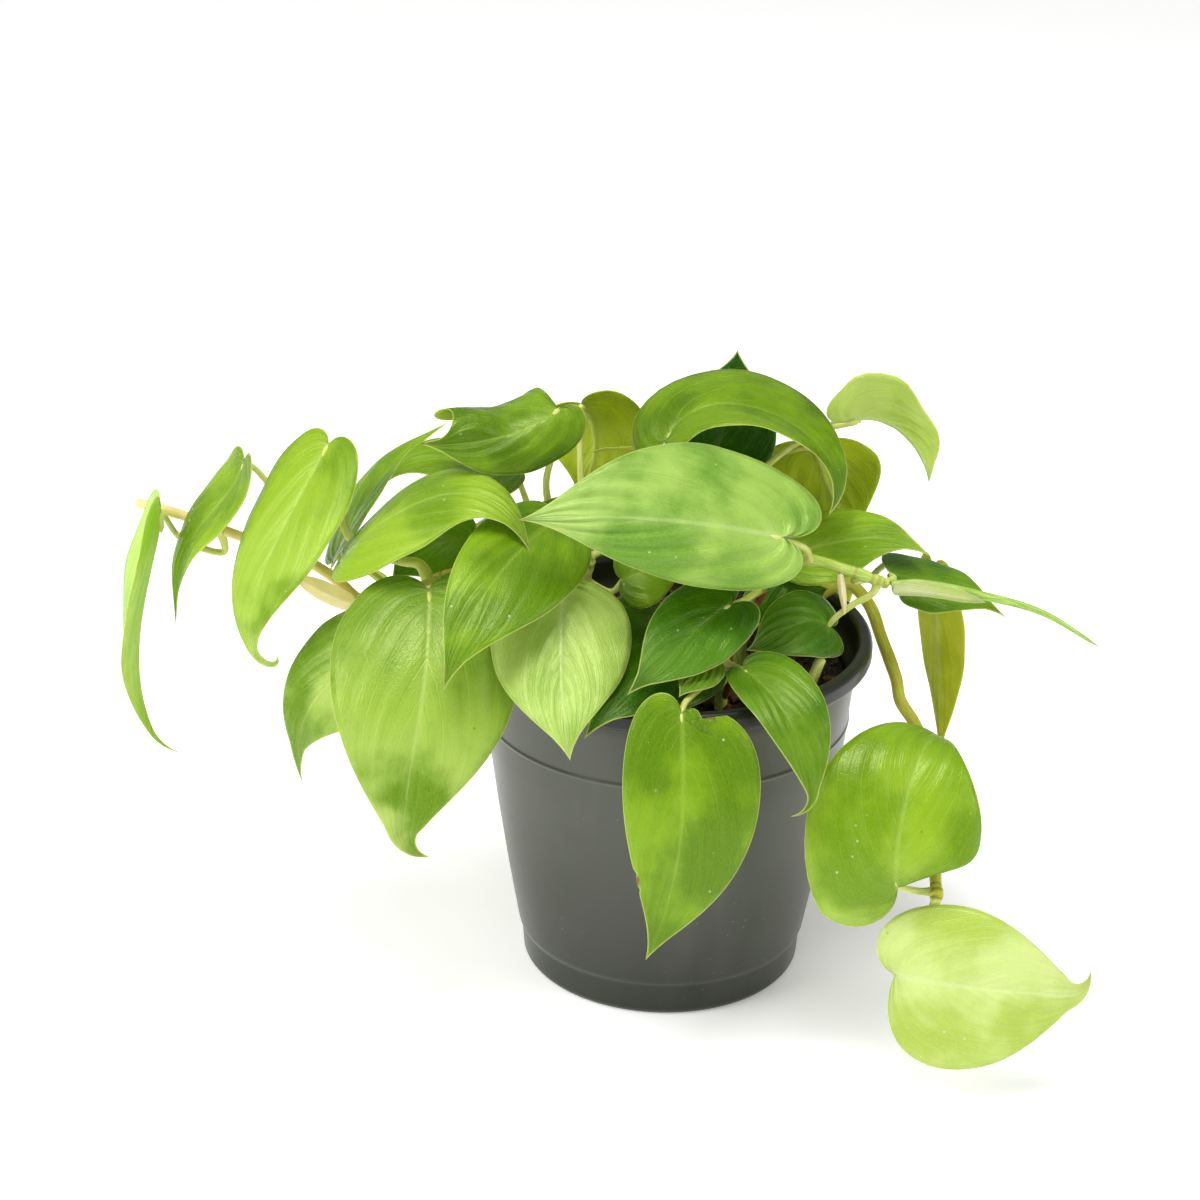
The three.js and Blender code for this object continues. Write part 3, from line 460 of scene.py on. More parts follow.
chip_material = earth_material("bark", (0.030, 0.014, 0.007), (0.36, 0.15, 0.055), shaded=True)
perlite_material = earth_material("perlite", (0.55, 0.53, 0.48), (0.85, 0.84, 0.80))
for name, material, count, size, flatness, shades in (
        ("bark_chips", chip_material, 190, (2.2, 5.0), (0.22, 0.4), (0.0, 0.85)),
        ("soil_crumbs", chip_material, 900, (0.5, 1.7), (0.5, 0.9), (0.0, 0.35)),
        ("perlite", perlite_material, 46, (0.6, 1.3), (0.6, 0.9), (0.0, 1.0))):
    points, faces, values = scatter_lumps(soil_draw, count, size, flatness, shades)
    marks = {"shade": values} if material == chip_material else {}
    new_piece(name, points, faces, [material], "soil", smooth=False, **marks)


# The stems: round, juicy vines of this year's growth, rooted in the soil. They swell at each node,
# where a leaf stalk leaves and a ring scar stays, and pale short roots start under some nodes.
# Each: its radius at either end in mm, its colour, and its path from the soil on.
VINES = {
    "vine_left": ((2.6, 1.8), "peach", [
        (-22, -6, 96), (-28, -7, 120), (-48, -10, 144), (-76, -15, 160), (-91, -12, 152), (-110, -8, 145),
        (-124, 0, 152), (-140, 10, 157), (-160, 22, 158), (-180, 32, 161), (-202, 44, 162)]),
    "vine_right": ((2.6, 2.1), "green", [
        (38, 20, 96), (45, 24, 118), (55, 29, 133), (67, 33, 139), (76, 30, 132), (81, 23, 121), (86, 12, 110),
        (88, 8, 102), (94, 2, 94), (99, -16, 85), (99, -40, 76), (96, -62, 71), (95, -79, 67)]),
    "vine_top_right": ((2.4, 1.8), "fresh", [
        (24, -18, 96), (25, -18, 120), (27, -14, 142), (35, -14, 161), (47, -17, 169), (61, -19, 167),
        (76, -20, 162)]),
    "vine_back": ((2.4, 2.0), "green", [
        (-6, 48, 96), (-8, 50, 120), (-10, 58, 137), (-14, 72, 144), (-21, 86, 138), (-27, 91, 122),
        (-30, 91, 104)]),
    "stem_centre": ((2.4, 1.8), "pale", [(16, 10, 96), (16, 10, 120), (15, 8, 150), (12, 4, 174)]),
    "stem_mid": ((2.3, 2.0), "pale", [(-34, -12, 96), (-34, -13, 120), (-33, -20, 150), (-30, -26, 172)]),
    "stem_front": ((2.5, 2.2), "pale", [(18, -44, 96), (18, -44, 118), (18, -44, 131), (18, -43, 142)]),
    "stem_right_front": ((2.2, 2.0), "pale", [
        (46, -36, 96), (48, -35, 120), (52, -35, 134), (54, -34, 139)]),
    "stem_left_top": ((2.5, 1.8), "green", [(-30, 8, 96), (-32, 8, 120), (-38, 6, 150), (-44, 4, 176)]),
    "stem_back": ((2.5, 1.8), "green", [(6, 34, 96), (7, 34, 120), (8, 34, 150), (6, 32, 168)]),
}


def resampled(curve, count):
    """The same curve as count points at equal steps of its length, and that length."""
    lengths = np.r_[0, np.cumsum(np.linalg.norm(np.diff(curve, axis=0), axis=1))]
    wanted = np.linspace(0, lengths[-1], count)
    return np.stack([np.interp(wanted, lengths, curve[:, axis]) for axis in range(3)], -1), lengths[-1]


def smooth_curve(points, step=0.8):
    """Uniform Catmull-Rom curve through the points, at steps of about step mm; returns it and its length."""
    p = np.asarray(points, float)
    p = np.vstack([2 * p[0] - p[1], p, 2 * p[-1] - p[-2]])
    spans = len(points) - 1
    t = np.linspace(0, spans, 60 * spans + 1)
    k = np.minimum(t.astype(int), spans - 1)
    f = (t - k)[:, None]
    a, b, c, d = p[k], p[k + 1], p[k + 2], p[k + 3]
    curve = 0.5 * (2 * b + (c - a) * f + (2 * a - 5 * b + 4 * c - d) * f ** 2
                   + (3 * b - a - 3 * c + d) * f ** 3)
    length = resampled(curve, 2)[1]
    return resampled(curve, max(8, int(length / step)))


def tube(curve, radii, sides, start=0):
    """Rings round a curve, carried along it without twist, with a point at either end.
    Returns points, faces numbered from start, and for each point (mm along, cosine, sine)."""
    along = np.gradient(curve, axis=0)
    along /= np.linalg.norm(along, axis=1, keepdims=True)
    angle = np.arange(sides) * 2 * np.pi / sides
    normal = np.cross(along[0], [0.3, 0.9, 0.2])
    rings = []
    for point, direction, radius in zip(curve, along, radii):
        normal = normal - direction * (normal @ direction)
        normal /= np.linalg.norm(normal)
        side = np.cross(direction, normal)
        rings.append(point + radius * (np.outer(np.cos(angle), normal) + np.outer(np.sin(angle), side)))
    count = len(curve)
    points = np.concatenate([curve[:1], *rings, curve[-1:]])
    faces = grid_faces(count, sides, start=start + 1, closed=True)
    last, end = start + 1 + (count - 1) * sides, start + 1 + count * sides
    for j in range(sides):
        k = (j + 1) % sides
        faces += [(start, start + 1 + k, start + 1 + j), (end, last + j, last + k)]
    run = np.r_[0, np.cumsum(np.linalg.norm(np.diff(curve, axis=0), axis=1))]
    turns = np.tile(np.stack([np.cos(angle), np.sin(angle)], -1), (count, 1))
    around = np.c_[np.repeat(run, sides), turns]
    return points, faces, np.concatenate([[[0, 0, 0]], around, [[run[-1], 0, 0]]])


# Juicy bark: long streaks along the stem, pale breathing pores, brown rings and small scuffs.
PORE_COLOUR = (0.80, 0.76, 0.56, 1)
bark, given = new_group("stem_skin", ("Base", "Streak", "Scar"), ())
along_stem = bark.mark("stalk")
lines = bark.noise(bark.stretch(along_stem, (0.05, 1.0, 1.0)), 3.2, 4.0)
blotches = bark.noise(bark.place(), 75.0, 4.0)
pores = bark.cells(bark.stretch(along_stem, (0.5, 1.6, 1.6)), 1.8)
pores = bark.times(bark.band(pores, 0.17, 0.07), 0.55)
scarred = bark.plus(bark.mark("scar", "Fac"), bark.times(blotches, 0.6))
bark_colour = bark.mix(bark.band(lines, 0.38, 0.66), given["Base"], given["Streak"])
put_out(bark,
        Color=bark.mix(bark.times(bark.band(scarred, 0.72, 1.05), 0.45),
                       bark.mix(pores, bark_colour, PORE_COLOUR), given["Scar"]),
        Roughness=bark.band(blotches, 0.3, 0.7, 0.34, 0.52),
        Height=bark.plus(bark.times(lines, 0.6), bark.times(pores, 0.5)))


def juicy(weight, depth, scale):
    """The sockets of flesh that light goes into, depth metres times scale for red, green and blue."""
    return {"Subsurface Weight": weight, "Subsurface Radius": depth, "Subsurface Scale": scale}


# base, streak and scar
STEM_COLOURS = {
    "peach": ("f0e48c", "ffda9c", "9a6a34"),
    "green": ("d0cc34", "dcdc5c", "6e5a26"),
    "pale": ("ccd85c", "e0e490", "a88a44"),
    "fresh": ("a8c844", "ccdc74", "a88a44"),
    "root": ("8a6238", "5c3c20", "3a2414"),
}
stem_materials = {
    kind: material_with("stem_" + kind, "stem_skin", dict(zip(("Base", "Streak", "Scar"), codes)),
                        juicy(0.12, (0.004, 0.005, 0.0015), 0.35))
    for kind, codes in STEM_COLOURS.items()}


# The leaves: heart-shaped blades with a sunk, pale midrib, arching side veins and a drawn-out tip.
# Each is joined to its vine by a round stalk that is a little thicker at both ends.
def leaf(on, tone, half, fold, curl, petiole, rib, *face, **more):
    """One leaf. on: its vine. tone: its green. half: its half width in mm. fold: how steeply it rises
    from the rib, and curl: how far it bends from there to the margin, in degrees. petiole: its stalk's
    bends. rib: four places on the midrib. face: where its upper side looks, at the base and the tip.
    half, fold, curl and lobe, the reach of its lobes, are one number or one for each side. Some have
    more. drip: how far the tip runs on, in mm. hook and bow: how far it turns aside and to its face,
    in degrees. roll: what side 0 gains in fold and curl towards the tip, and its lean. nicks, tears
    and wounds: its damage. folds: how deep it sinks between the side veins, in mm. fade: painted
    light and shade, how much paler, or darker below 0, it is painted at the base and the tip. stalk:
    the stalk's radius in mm."""
    return dict(on=on, tone=tone, half=half, fold=fold, curl=curl, petiole=petiole, rib=rib, face=face,
                **more)


LEAVES = {
    "far_left": leaf(
        "vine_left", "lime", 24, 14, 5, [(-168, 30, 148), (-183, 30, 153)],
        [(-189, 18, 168), (-195, 14, 140), (-199, 12, 107), (-190, 10, 73)], (-1, -0.16, 0), drip=3, bow=-35),
    "left_small": leaf(
        "vine_left", "light", 17, 12, -20, [(-146, 22, 172), (-152, 24, 182)],
        [(-158, 22, 187), (-167, 18, 172), (-178, 14, 157), (-183, 8, 130)],
        (-0.8, -0.35, 0.45), (-0.9, -0.3, 0.2), drip=3, hook=20),
    "left_big": leaf(
        "vine_left", "light", [23, 25], 12, -30,
        [(-91, -9, 161), (-98, -8, 162), (-110, -3, 163), (-118, 0, 169), (-121, 3, 181), (-123, 5, 193)],
        [(-125, 5, 201), (-139, -8, 176), (-151, -18, 147), (-146, -20, 124)],
        (-0.65, -0.6, 0.4), (-0.75, -0.6, 0),
        drip=10, fade=(-0.15, 0.8), hook=-140, lobe=[0.8, 0.7], stalk=1.9),
    "up_left": leaf(
        "vine_left", "fresh", 17, 15, -20, [(-105, 5, 149), (-117, 13, 151)],
        [(-124, 16, 153), (-114, 22, 172), (-102, 28, 186), (-85, 34, 199)],
        (-0.75, -0.05, 0.7), (-0.6, -0.1, 0.8), drip=2),
    "arch_left": leaf(
        "vine_left", "light", [23, 20], [10, 0], -30, [(-103, -16, 156), (-112, -17, 164)],
        [(-117, -18, 169), (-96, -24, 188), (-71, -30, 197), (-51, -41, 182)],
        (-0.35, -0.25, 0.95), (0.5, -0.5, 0.7), drip=3, lobe=0.8),
    "rolled_top": leaf(
        "stem_left_top", "mid", [29, 16], [30, -30], [-90, -60], [(-46, 2, 190), (-42, 1, 208)],
        [(-42, -4, 220), (-56, -9, 213), (-72, -15, 211), (-89, -18, 211)], (0, -0.2, 1), drip=1,
        fade=(0.3, 0.3), roll=(50, -90, 0.7), wounds=[(0, 1.0, 0.0, 1)], nicks=[(0, 0.91, 0.5, 0.06)],
        lobe=[0.2, 1.6]),
    "under_top": leaf(
        "stem_left_top", "mid", 18, 10, -25, [(-50, 10, 172), (-55, 12, 183)],
        [(-57, 11, 190), (-71, 11, 192), (-87, 9, 195), (-103, 5, 188)], (0, -0.2, 1), (-0.2, -0.3, 1)),
    "back_hanging": leaf(
        "stem_left_top", "mid", [20, 22], 10, -20, [(-34, 14, 168), (-34, 26, 190), (-35, 34, 202)],
        [(-34, 38, 207), (-29, 42, 194), (-30, 40, 181), (-35, 36, 170)], (0.1, 0.9, 0.4), (0.1, 1, 0),
        drip=3),
    "centre_big": leaf(
        "vine_top_right", "silver", [31, 22], [8, -12], [-15, -35], [(46, -32, 180)],
        [(37, -42, 188), (6, -50, 196), (-24, -56, 200), (-53, -60, 200)], (0, -0.6, 0.8), (0, -0.8, 0.6),
        drip=1, fade=(-0.1, 0.3), folds=0.9, lobe=[2, 1.2]),
    "top_arch": leaf(
        "stem_centre", "mid", [18, 23], [10, 20], -18, [(2, 2, 184), (-2, 2, 197)],
        [(-3, 0, 208), (22, 4, 220), (50, 0, 208), (56, -14, 187)], (0, 0, 1), (0.7, -0.2, 0.65),
        drip=2, lobe=[0.6, 1.4]),
    "back_dark": leaf(
        "stem_back", "black", 20, 15, -20, [(10, 28, 178)],
        [(16, 25, 187), (18, 28, 198), (21, 32, 214), (23, 36, 230)], (0, -0.9, 0.3), fade=(-0.5, -0.5)),
    "back_right": leaf(
        "stem_back", "mid", 22, 8, -20, [(17, 38, 166), (36, 36, 186), (46, 30, 194)],
        [(53, 28, 195), (58, 33, 180), (64, 32, 167), (70, 28, 157)], (0.1, 0.9, 0.4), (0.1, 1, 0),
        drip=2, lobe=1.3),
    "right_point": leaf(
        "stem_centre", "light", [17, 16], 10, -25, [(30, 6, 161)],
        [(42, 5, 161), (58, 6, 166), (75, 3, 170), (91, -4, 168)], (0, -0.5, 0.85), drip=3),
    "upper_right": leaf(
        "stem_centre", "light", [21, 15], [34, 30], -10, [(22, 10, 182), (40, 20, 196), (53, 19, 205)],
        [(65, 18, 210), (75, 19, 210), (86, 16, 204), (93, 11, 191)], (0, 0.65, 0.75), (0.5, 0.65, 0.5),
        drip=2, nicks=[(0, 0.55, 0.30, 0.20)], lobe=[3, 2.2]),
    "centre_left": leaf(
        "stem_mid", "fresh", [17, 24], 10, -25, [(-36, -24, 179)],
        [(-43, -23, 185), (-58, -49, 179), (-70, -70, 167), (-78, -84, 148)], (0.2, -0.5, 0.85),
        (0, -0.8, 0.6), drip=2, lobe=0.8),
    "back_centre": leaf(
        "stem_mid", "mid", 13, 10, -25, [(-24, -18, 174)],
        [(-27, -12, 179), (-37, -13, 179), (-48, -13, 178), (-60, -15, 175)], (0, -0.6, 0.8)),
    "front_light": leaf(
        "stem_mid", "milky", 25, 8, -30, [(-33, -34, 166)],
        [(-38, -45, 169), (-39, -59, 154), (-38, -76, 140), (-35, -92, 126)], (0, -0.7, 0.7), (0, -0.8, 0.6),
        drip=1, lobe=0.6),
    "front_left": leaf(
        "vine_left", "soft", 34, 10, [-30, -45], [(-90, -26, 160)],
        [(-86, -40, 164), (-86, -68, 142), (-90, -85, 115), (-92, -95, 86)], (0, -0.7, 0.7), (0, -0.9, 0.3),
        drip=3, fade=(-0.8, 0.9), hook=-85),
    "left_low": leaf(
        "vine_left", "soft", 22, 10, -25, [(-103, -19, 146)],
        [(-100, -26, 143), (-116, -33, 130), (-129, -36, 116), (-134, -36, 93)],
        (-0.4, -0.6, 0.6), (-0.6, -0.7, 0.3), drip=7, fade=(0.1, 0.6), hook=-12),
    "front_torn": leaf(
        "stem_front", "fresh", [21, 27], 8, -25, [(12, -56, 138), (5, -72, 139)],
        [(3, -80, 138), (4, -90, 112), (2, -95, 84), (-7, -97, 51)], (0, -0.9, 0.3), (0, -1, 0.1), drip=1,
        nicks=[(0, 0.66, 0.07, 0.014), (0, 0.72, 0.06, 0.012)], tears=[(1, 0.36, 0.11, 0.10)],
        wounds=[(0, 0.69, 0.62, 2), (1, 0.0, 0.36, 2.4)], lobe=[1, 0.3]),
    "behind_centre": leaf(
        "stem_mid", "dark", [26, 24], 8, -12, [(-20, -16, 146), (2, -20, 146)],
        [(6, -32, 147), (-5, -50, 145), (-17, -67, 140), (-28, -80, 131)], (0.2, -0.6, 0.8), (0, -0.7, 0.7),
        drip=4, fade=(-0.5, -0.3), lobe=0.6),
    "small_olive": leaf(
        "stem_front", "deep", 8, 10, -25, [(15, -48, 146)],
        [(13, -54, 147), (10, -61, 146), (6, -68, 144), (2, -74, 141)], (0.2, -0.6, 0.8), (0, -0.7, 0.7)),
    "dark_heart": leaf(
        "vine_top_right", "dark", [16, 15], 10, -20, [(26, -28, 158)],
        [(20, -42, 162), (8, -54, 157), (-3, -66, 151), (-15, -76, 144)], (0.2, -0.6, 0.8), (0, -0.7, 0.7),
        drip=2, hook=-10, lobe=1.8),
    "bright": leaf(
        "stem_mid", "fresh", 13, 10, -25, [(-22, -28, 160)],
        [(-18, -30, 166), (-10, -32, 170), (-2, -32, 172), (6, -32, 173)], (0, -0.8, 0.6)),
    "right_front": leaf(
        "stem_front", "deep", [10, 16], [25, 6], -25, [(22, -48, 141)],
        [(25, -57, 144), (36, -73, 139), (44, -84, 127), (49, -90, 106)], (0.1, -0.8, 0.6), (0.2, -0.9, 0.2),
        drip=5, hook=95, lobe=[0.9, 0.8]),
    "small_right": leaf(
        "vine_top_right", "dark", [13, 15], 10, -20, [(72, -20, 158), (66, -20, 154), (60, -20, 149)],
        [(57, -20, 145), (46, -28, 149), (36, -34, 146), (27, -40, 144)], (0.1, -0.6, 0.8), (0, -0.7, 0.7),
        drip=1, lobe=2),
    "dark_small": leaf(
        "vine_top_right", "dark", 14, 8, -20, [(30, -8, 138)],
        [(35, -8, 141), (41, -6, 146), (49, -3, 149), (58, 0, 151)], (-0.1, -0.8, 0.6), (0, -0.8, 0.6),
        lobe=1.5),
    "far_right": leaf(
        "vine_top_right", "deep", 15, 8, -25, [(80, -13, 161)],
        [(80, -6, 160), (91, -6, 157), (105, -9, 154), (119, -12, 148)], (0, -0.3, 1), drip=3),
    "strip": leaf(
        "vine_top_right", "fresh", 15, 14, -15, [(66, -13, 160), (72, -4, 157), (80, 10, 157), (90, 17, 154)],
        [(98, 16, 152), (101, 15, 128), (103, 12, 104), (104, 8, 80)], (0.9, 0.5, 0.1), drip=2),
    "right_low": leaf(
        "vine_right", "light", [30, 33], 8, -30, [(88, -76, 68)],
        [(80, -86, 75), (80, -83, 96), (87, -67, 116), (98, -45, 112)], (0, -0.9, 0.4), (0.3, 0.2, 0.9),
        fade=(0.25, -0.7), lobe=[0.1, 2]),
    "lowest": leaf(
        "vine_right", "pale", [30, 28], 6, -20, [(93, -82, 59), (87, -87, 48)],
        [(81, -92, 43), (103, -97, 42), (126, -99, 41), (149, -94, 38)], (0, -0.9, 0.4),
        drip=5, hook=-85, lobe=[0.3, 1.5]),
    "dark_under": leaf(
        "stem_left_top", "deep", 15, 10, -25, [(-56, 8, 160)],
        [(-73, 7, 166), (-84, 4, 164), (-94, 2, 159), (-102, 0, 151)], (0, -0.5, 0.8), (-0.3, -0.7, 0.5)),
    "edge": leaf(
        "stem_back", "fresh", 8, 6, -10, [(0, 26, 162), (-4, 20, 190)],
        [(-6, 17, 198), (-14, 19, 197), (-22, 21, 196), (-30, 22, 194)], (0, 0.4, 0.9)),
    "rear_left": leaf(
        "vine_back", "fresh", 27, 10, -25, [(-18, 70, 150), (-30, 74, 154)],
        [(-36, 80, 151), (-43, 95, 132), (-48, 103, 108), (-50, 107, 82)], (-0.3, 0.8, 0.6), (-0.3, 1, 0.1),
        drip=3, hook=35),
    "rear_middle": leaf(
        "vine_back", "mid", 25, 10, -25, [(-6, 66, 150), (2, 74, 154)],
        [(6, 80, 152), (13, 95, 136), (17, 104, 114), (18, 109, 90)], (0.1, 0.8, 0.6), (0.1, 1, 0.1),
        drip=3, hook=-25),
    "rear_low": leaf(
        "vine_back", "light", 26, 10, -25, [(-31, 95, 98)],
        [(-28, 99, 96), (-21, 103, 76), (-16, 104, 54), (-16, 102, 34)], (0.1, 0.9, 0.4), (0.1, 1, 0.1),
        drip=3, hook=25),
    "rear_right": leaf(
        "stem_back", "fresh", 22, 10, -25, [(18, 48, 150), (30, 60, 152)],
        [(40, 66, 148), (53, 77, 132), (60, 83, 110), (60, 86, 86)], (0.4, 0.8, 0.6), (0.4, 0.9, 0.1),
        drip=3, hook=-40),
    "rear_high": leaf(
        "stem_back", "mid", 21, 10, -25, [(2, 44, 170)],
        [(-2, 54, 174), (-4, 70, 172), (-8, 84, 162), (-12, 92, 148)], (0, 0.4, 0.9), (0, 0.9, 0.4), drip=2),
    "rear_side": leaf(
        "stem_left_top", "light", 20, 10, -25, [(-42, 18, 158)],
        [(-52, 36, 166), (-60, 50, 157), (-66, 62, 141), (-68, 69, 122)], (-0.4, 0.5, 0.8), (-0.4, 0.9, 0.2),
        drip=3, hook=20),
}
HOOK_START = 0.88
ROLL_START, ROLL_FULL, ROLL_LEAN = 0.30, 0.65, 12.0
# how many radians the margin's two waves run through along the rib, and the mm that they rise
WAVES = (9.0, 21.0)
WAVE_HEIGHT = 0.5


def pair(value):
    """A value for the two sides of a blade as an array: one number counts for both."""
    return np.array(value if isinstance(value, (list, tuple)) else (value, value), float)


class Blade:
    """The middle surface of one blade, the model's own: a bent rib and a curl to either side of it."""

    def __init__(self, form, draw):
        """The rib is the cubic Bezier curve through its four places at shares 0, 1/3, 2/3 and 1."""
        a, b, c, d = np.asarray(form["rib"], float)
        first, second = (-5 * a + 18 * b - 9 * c + 2 * d) / 6, (2 * a - 9 * b + 18 * c - 5 * d) / 6
        t = np.linspace(0, 1, 601)[:, None]
        dense = (1 - t) ** 3 * a + 3 * t * (1 - t) ** 2 * first + 3 * t * t * (1 - t) * second + t ** 3 * d
        self.rib, self.length = resampled(dense, 401)
        along = np.gradient(self.rib, axis=0)
        self.along = along / np.linalg.norm(along, axis=1, keepdims=True)
        self.faces = np.asarray(form["face"], float)
        self.half, self.fold, self.curl = pair(form["half"]), pair(form["fold"]), pair(form["curl"])
        self.drip = form.get("drip", 0.0)
        self.hook, self.bow = np.radians(form.get("hook", 0.0)), np.radians(form.get("bow", 0.0))
        self.roll = form.get("roll", (0.0, 0.0, 0.0))
        self.wave, self.draw = form.get("wave", WAVE_HEIGHT), draw

    def axes(self, u):
        """Place, direction, face and across direction at share u of the rib. From HOOK_START on the
        tip runs drip mm further and turns on a circular arc, by hook aside and by bow to its face."""
        share = np.clip(u, 0, 1)
        at = np.linspace(0, 1, len(self.rib))
        place = np.stack([np.interp(share, at, self.rib[:, i]) for i in range(3)], -1)
        along = np.stack([np.interp(share, at, self.along[:, i]) for i in range(3)], -1)
        along /= np.linalg.norm(along, axis=-1, keepdims=True)
        place = place + along * (np.minimum(u, 0) * self.length)[..., None]
        face = self.faces[0] + (self.faces[-1] - self.faces[0]) * share[..., None]
        face = face - along * np.sum(face * along, -1, keepdims=True)
        face /= np.linalg.norm(face, axis=-1, keepdims=True)
        across = np.cross(along, face)
        bend = max(math.hypot(self.hook, self.bow), 1e-4)
        aside = (self.hook * across + self.bow * face) / bend
        part = np.clip((u - HOOK_START) / (1 - HOOK_START), 0, 1)[..., None]
        straight = self.length * (1 - HOOK_START)
        arc, c, s = straight + self.drip, np.cos(bend * part), np.sin(bend * part)
        place = place + along * (arc * s / bend - straight * part) + aside * (arc * (1 - c) / bend)
        turned = [axis + np.sum(axis * aside, -1, keepdims=True) * ((c - 1) * aside - s * along)
                  for axis in (face, across)]
        return place, c * along + s * aside, *turned

    def at(self, u, v):
        """Points and outward directions for u along the rib and v across it from -1 to 1. Across the
        blade the sheet is a circular arc that starts at the fold angle. The edge is lightly waved,
        with a height that grows as the square of v. From ROLL_START to ROLL_FULL a roll sets in on
        side 0: it adds to the fold and the curl, and shifts the sheet along the rib by a parabola of
        the mm from the rib, back up to ROLL_LEAN and on to the tip beyond it."""
        place, along, face, across = self.axes(u)
        side = (v < 0).astype(int)
        half, fold = self.half[side], np.radians(self.fold[side])
        ramp = np.clip((u - ROLL_START) / (ROLL_FULL - ROLL_START), 0, 1)
        ramp = ramp * ramp * (3 - 2 * ramp) * (side == 0)
        fold = fold + np.radians(self.roll[0]) * ramp
        reach = np.maximum(0, v) * half
        place = place + along * (self.roll[2] * ramp * reach * (reach / ROLL_LEAN - 1))[..., None]
        bend = np.radians(self.curl[side] + self.roll[1] * ramp) / half
        bend = np.where(np.abs(bend) < 1e-6, 1e-6, bend)
        angle = fold + bend * np.abs(v) * half
        lateral = np.sign(v) * (np.sin(angle) - np.sin(fold)) / bend
        rise = (np.cos(fold) - np.cos(angle)) / bend
        long, short = WAVES
        phases = self.draw.uniform(0, 6.28, 4)
        wave = (np.sin(long * u + phases[0] + side * phases[1])
                + 0.5 * np.sin(short * u + phases[2] + side * phases[3]))
        rise = rise + self.wave * wave * v ** 2 * np.clip((1.05 - u) * 2.5, 0, 1)
        outward = np.cos(angle)[..., None] * face - (np.sign(v) * np.sin(angle))[..., None] * across
        outward = np.where((v == 0)[..., None], face, outward)
        return place + lateral[..., None] * across + rise[..., None] * face, outward


def cubic(points, t):
    """A plane cubic Bezier curve at the shares t."""
    points, t = np.asarray(points, float), np.asarray(t, float)[:, None]
    weights = ((1 - t) ** 3, 3 * t * (1 - t) ** 2, 3 * t * t * (1 - t), t ** 3)
    return sum(weight * point for weight, point in zip(weights, points))


LOBE_REACH = 0.13
LOBE_SHARE = 0.12
WIDEST = 0.26
LOBE_ROWS = 22
TIP_ROWS = 44
TIP_CURVE = [(WIDEST, 1), (0.64, 1.02), (0.82, 0.16), (1, 0)]


def heart_rows(form):
    """Rows of a heart outline: for each, where it leaves the rib, and its margin (u, v) on either side.
    From the sinus round the lobe to the widest place, then on to the tip. A nick narrows one side
    near u, and a tear cuts into a lobe's top edge near v, each as a bell of its depth and width."""
    t = np.arange(1, LOBE_ROWS + 1) / LOBE_ROWS
    lobes = [cubic([(0, 0), (-LOBE_REACH * scale, 0.08), (-LOBE_REACH * scale, 0.95), (WIDEST, 1)], t)
             for scale in pair(form.get("lobe", 1))]
    rib = LOBE_SHARE * t * t
    t = np.arange(1, TIP_ROWS) / TIP_ROWS
    tip = cubic(TIP_CURVE, t)
    sides = [np.concatenate([lobe, tip]) for lobe in lobes]
    for side, u, depth, width in form.get("nicks", ()):
        sides[side][:, 1] *= 1 - depth * np.exp(-((sides[side][:, 0] - u) / width) ** 2)
    for side, v, depth, width in form.get("tears", ()):
        top = slice(0, LOBE_ROWS * 3 // 4)
        sides[side][top, 0] += depth * np.exp(-((sides[side][top, 1] - v) / width) ** 2)
    return np.concatenate([rib, LOBE_SHARE + (1 - LOBE_SHARE) * t]), sides


SIDE_FOLDS = 5
VEIN_SLANT = 0.5
HALF_COLUMNS = 15
SHARES = np.linspace(0, 1, HALF_COLUMNS + 1) ** 1.35
EDGE_THICKNESS = 0.22
EDGE_TAPER = 2.5
GROOVE_DEPTH, GROOVE_WIDTH = 0.22, 0.75


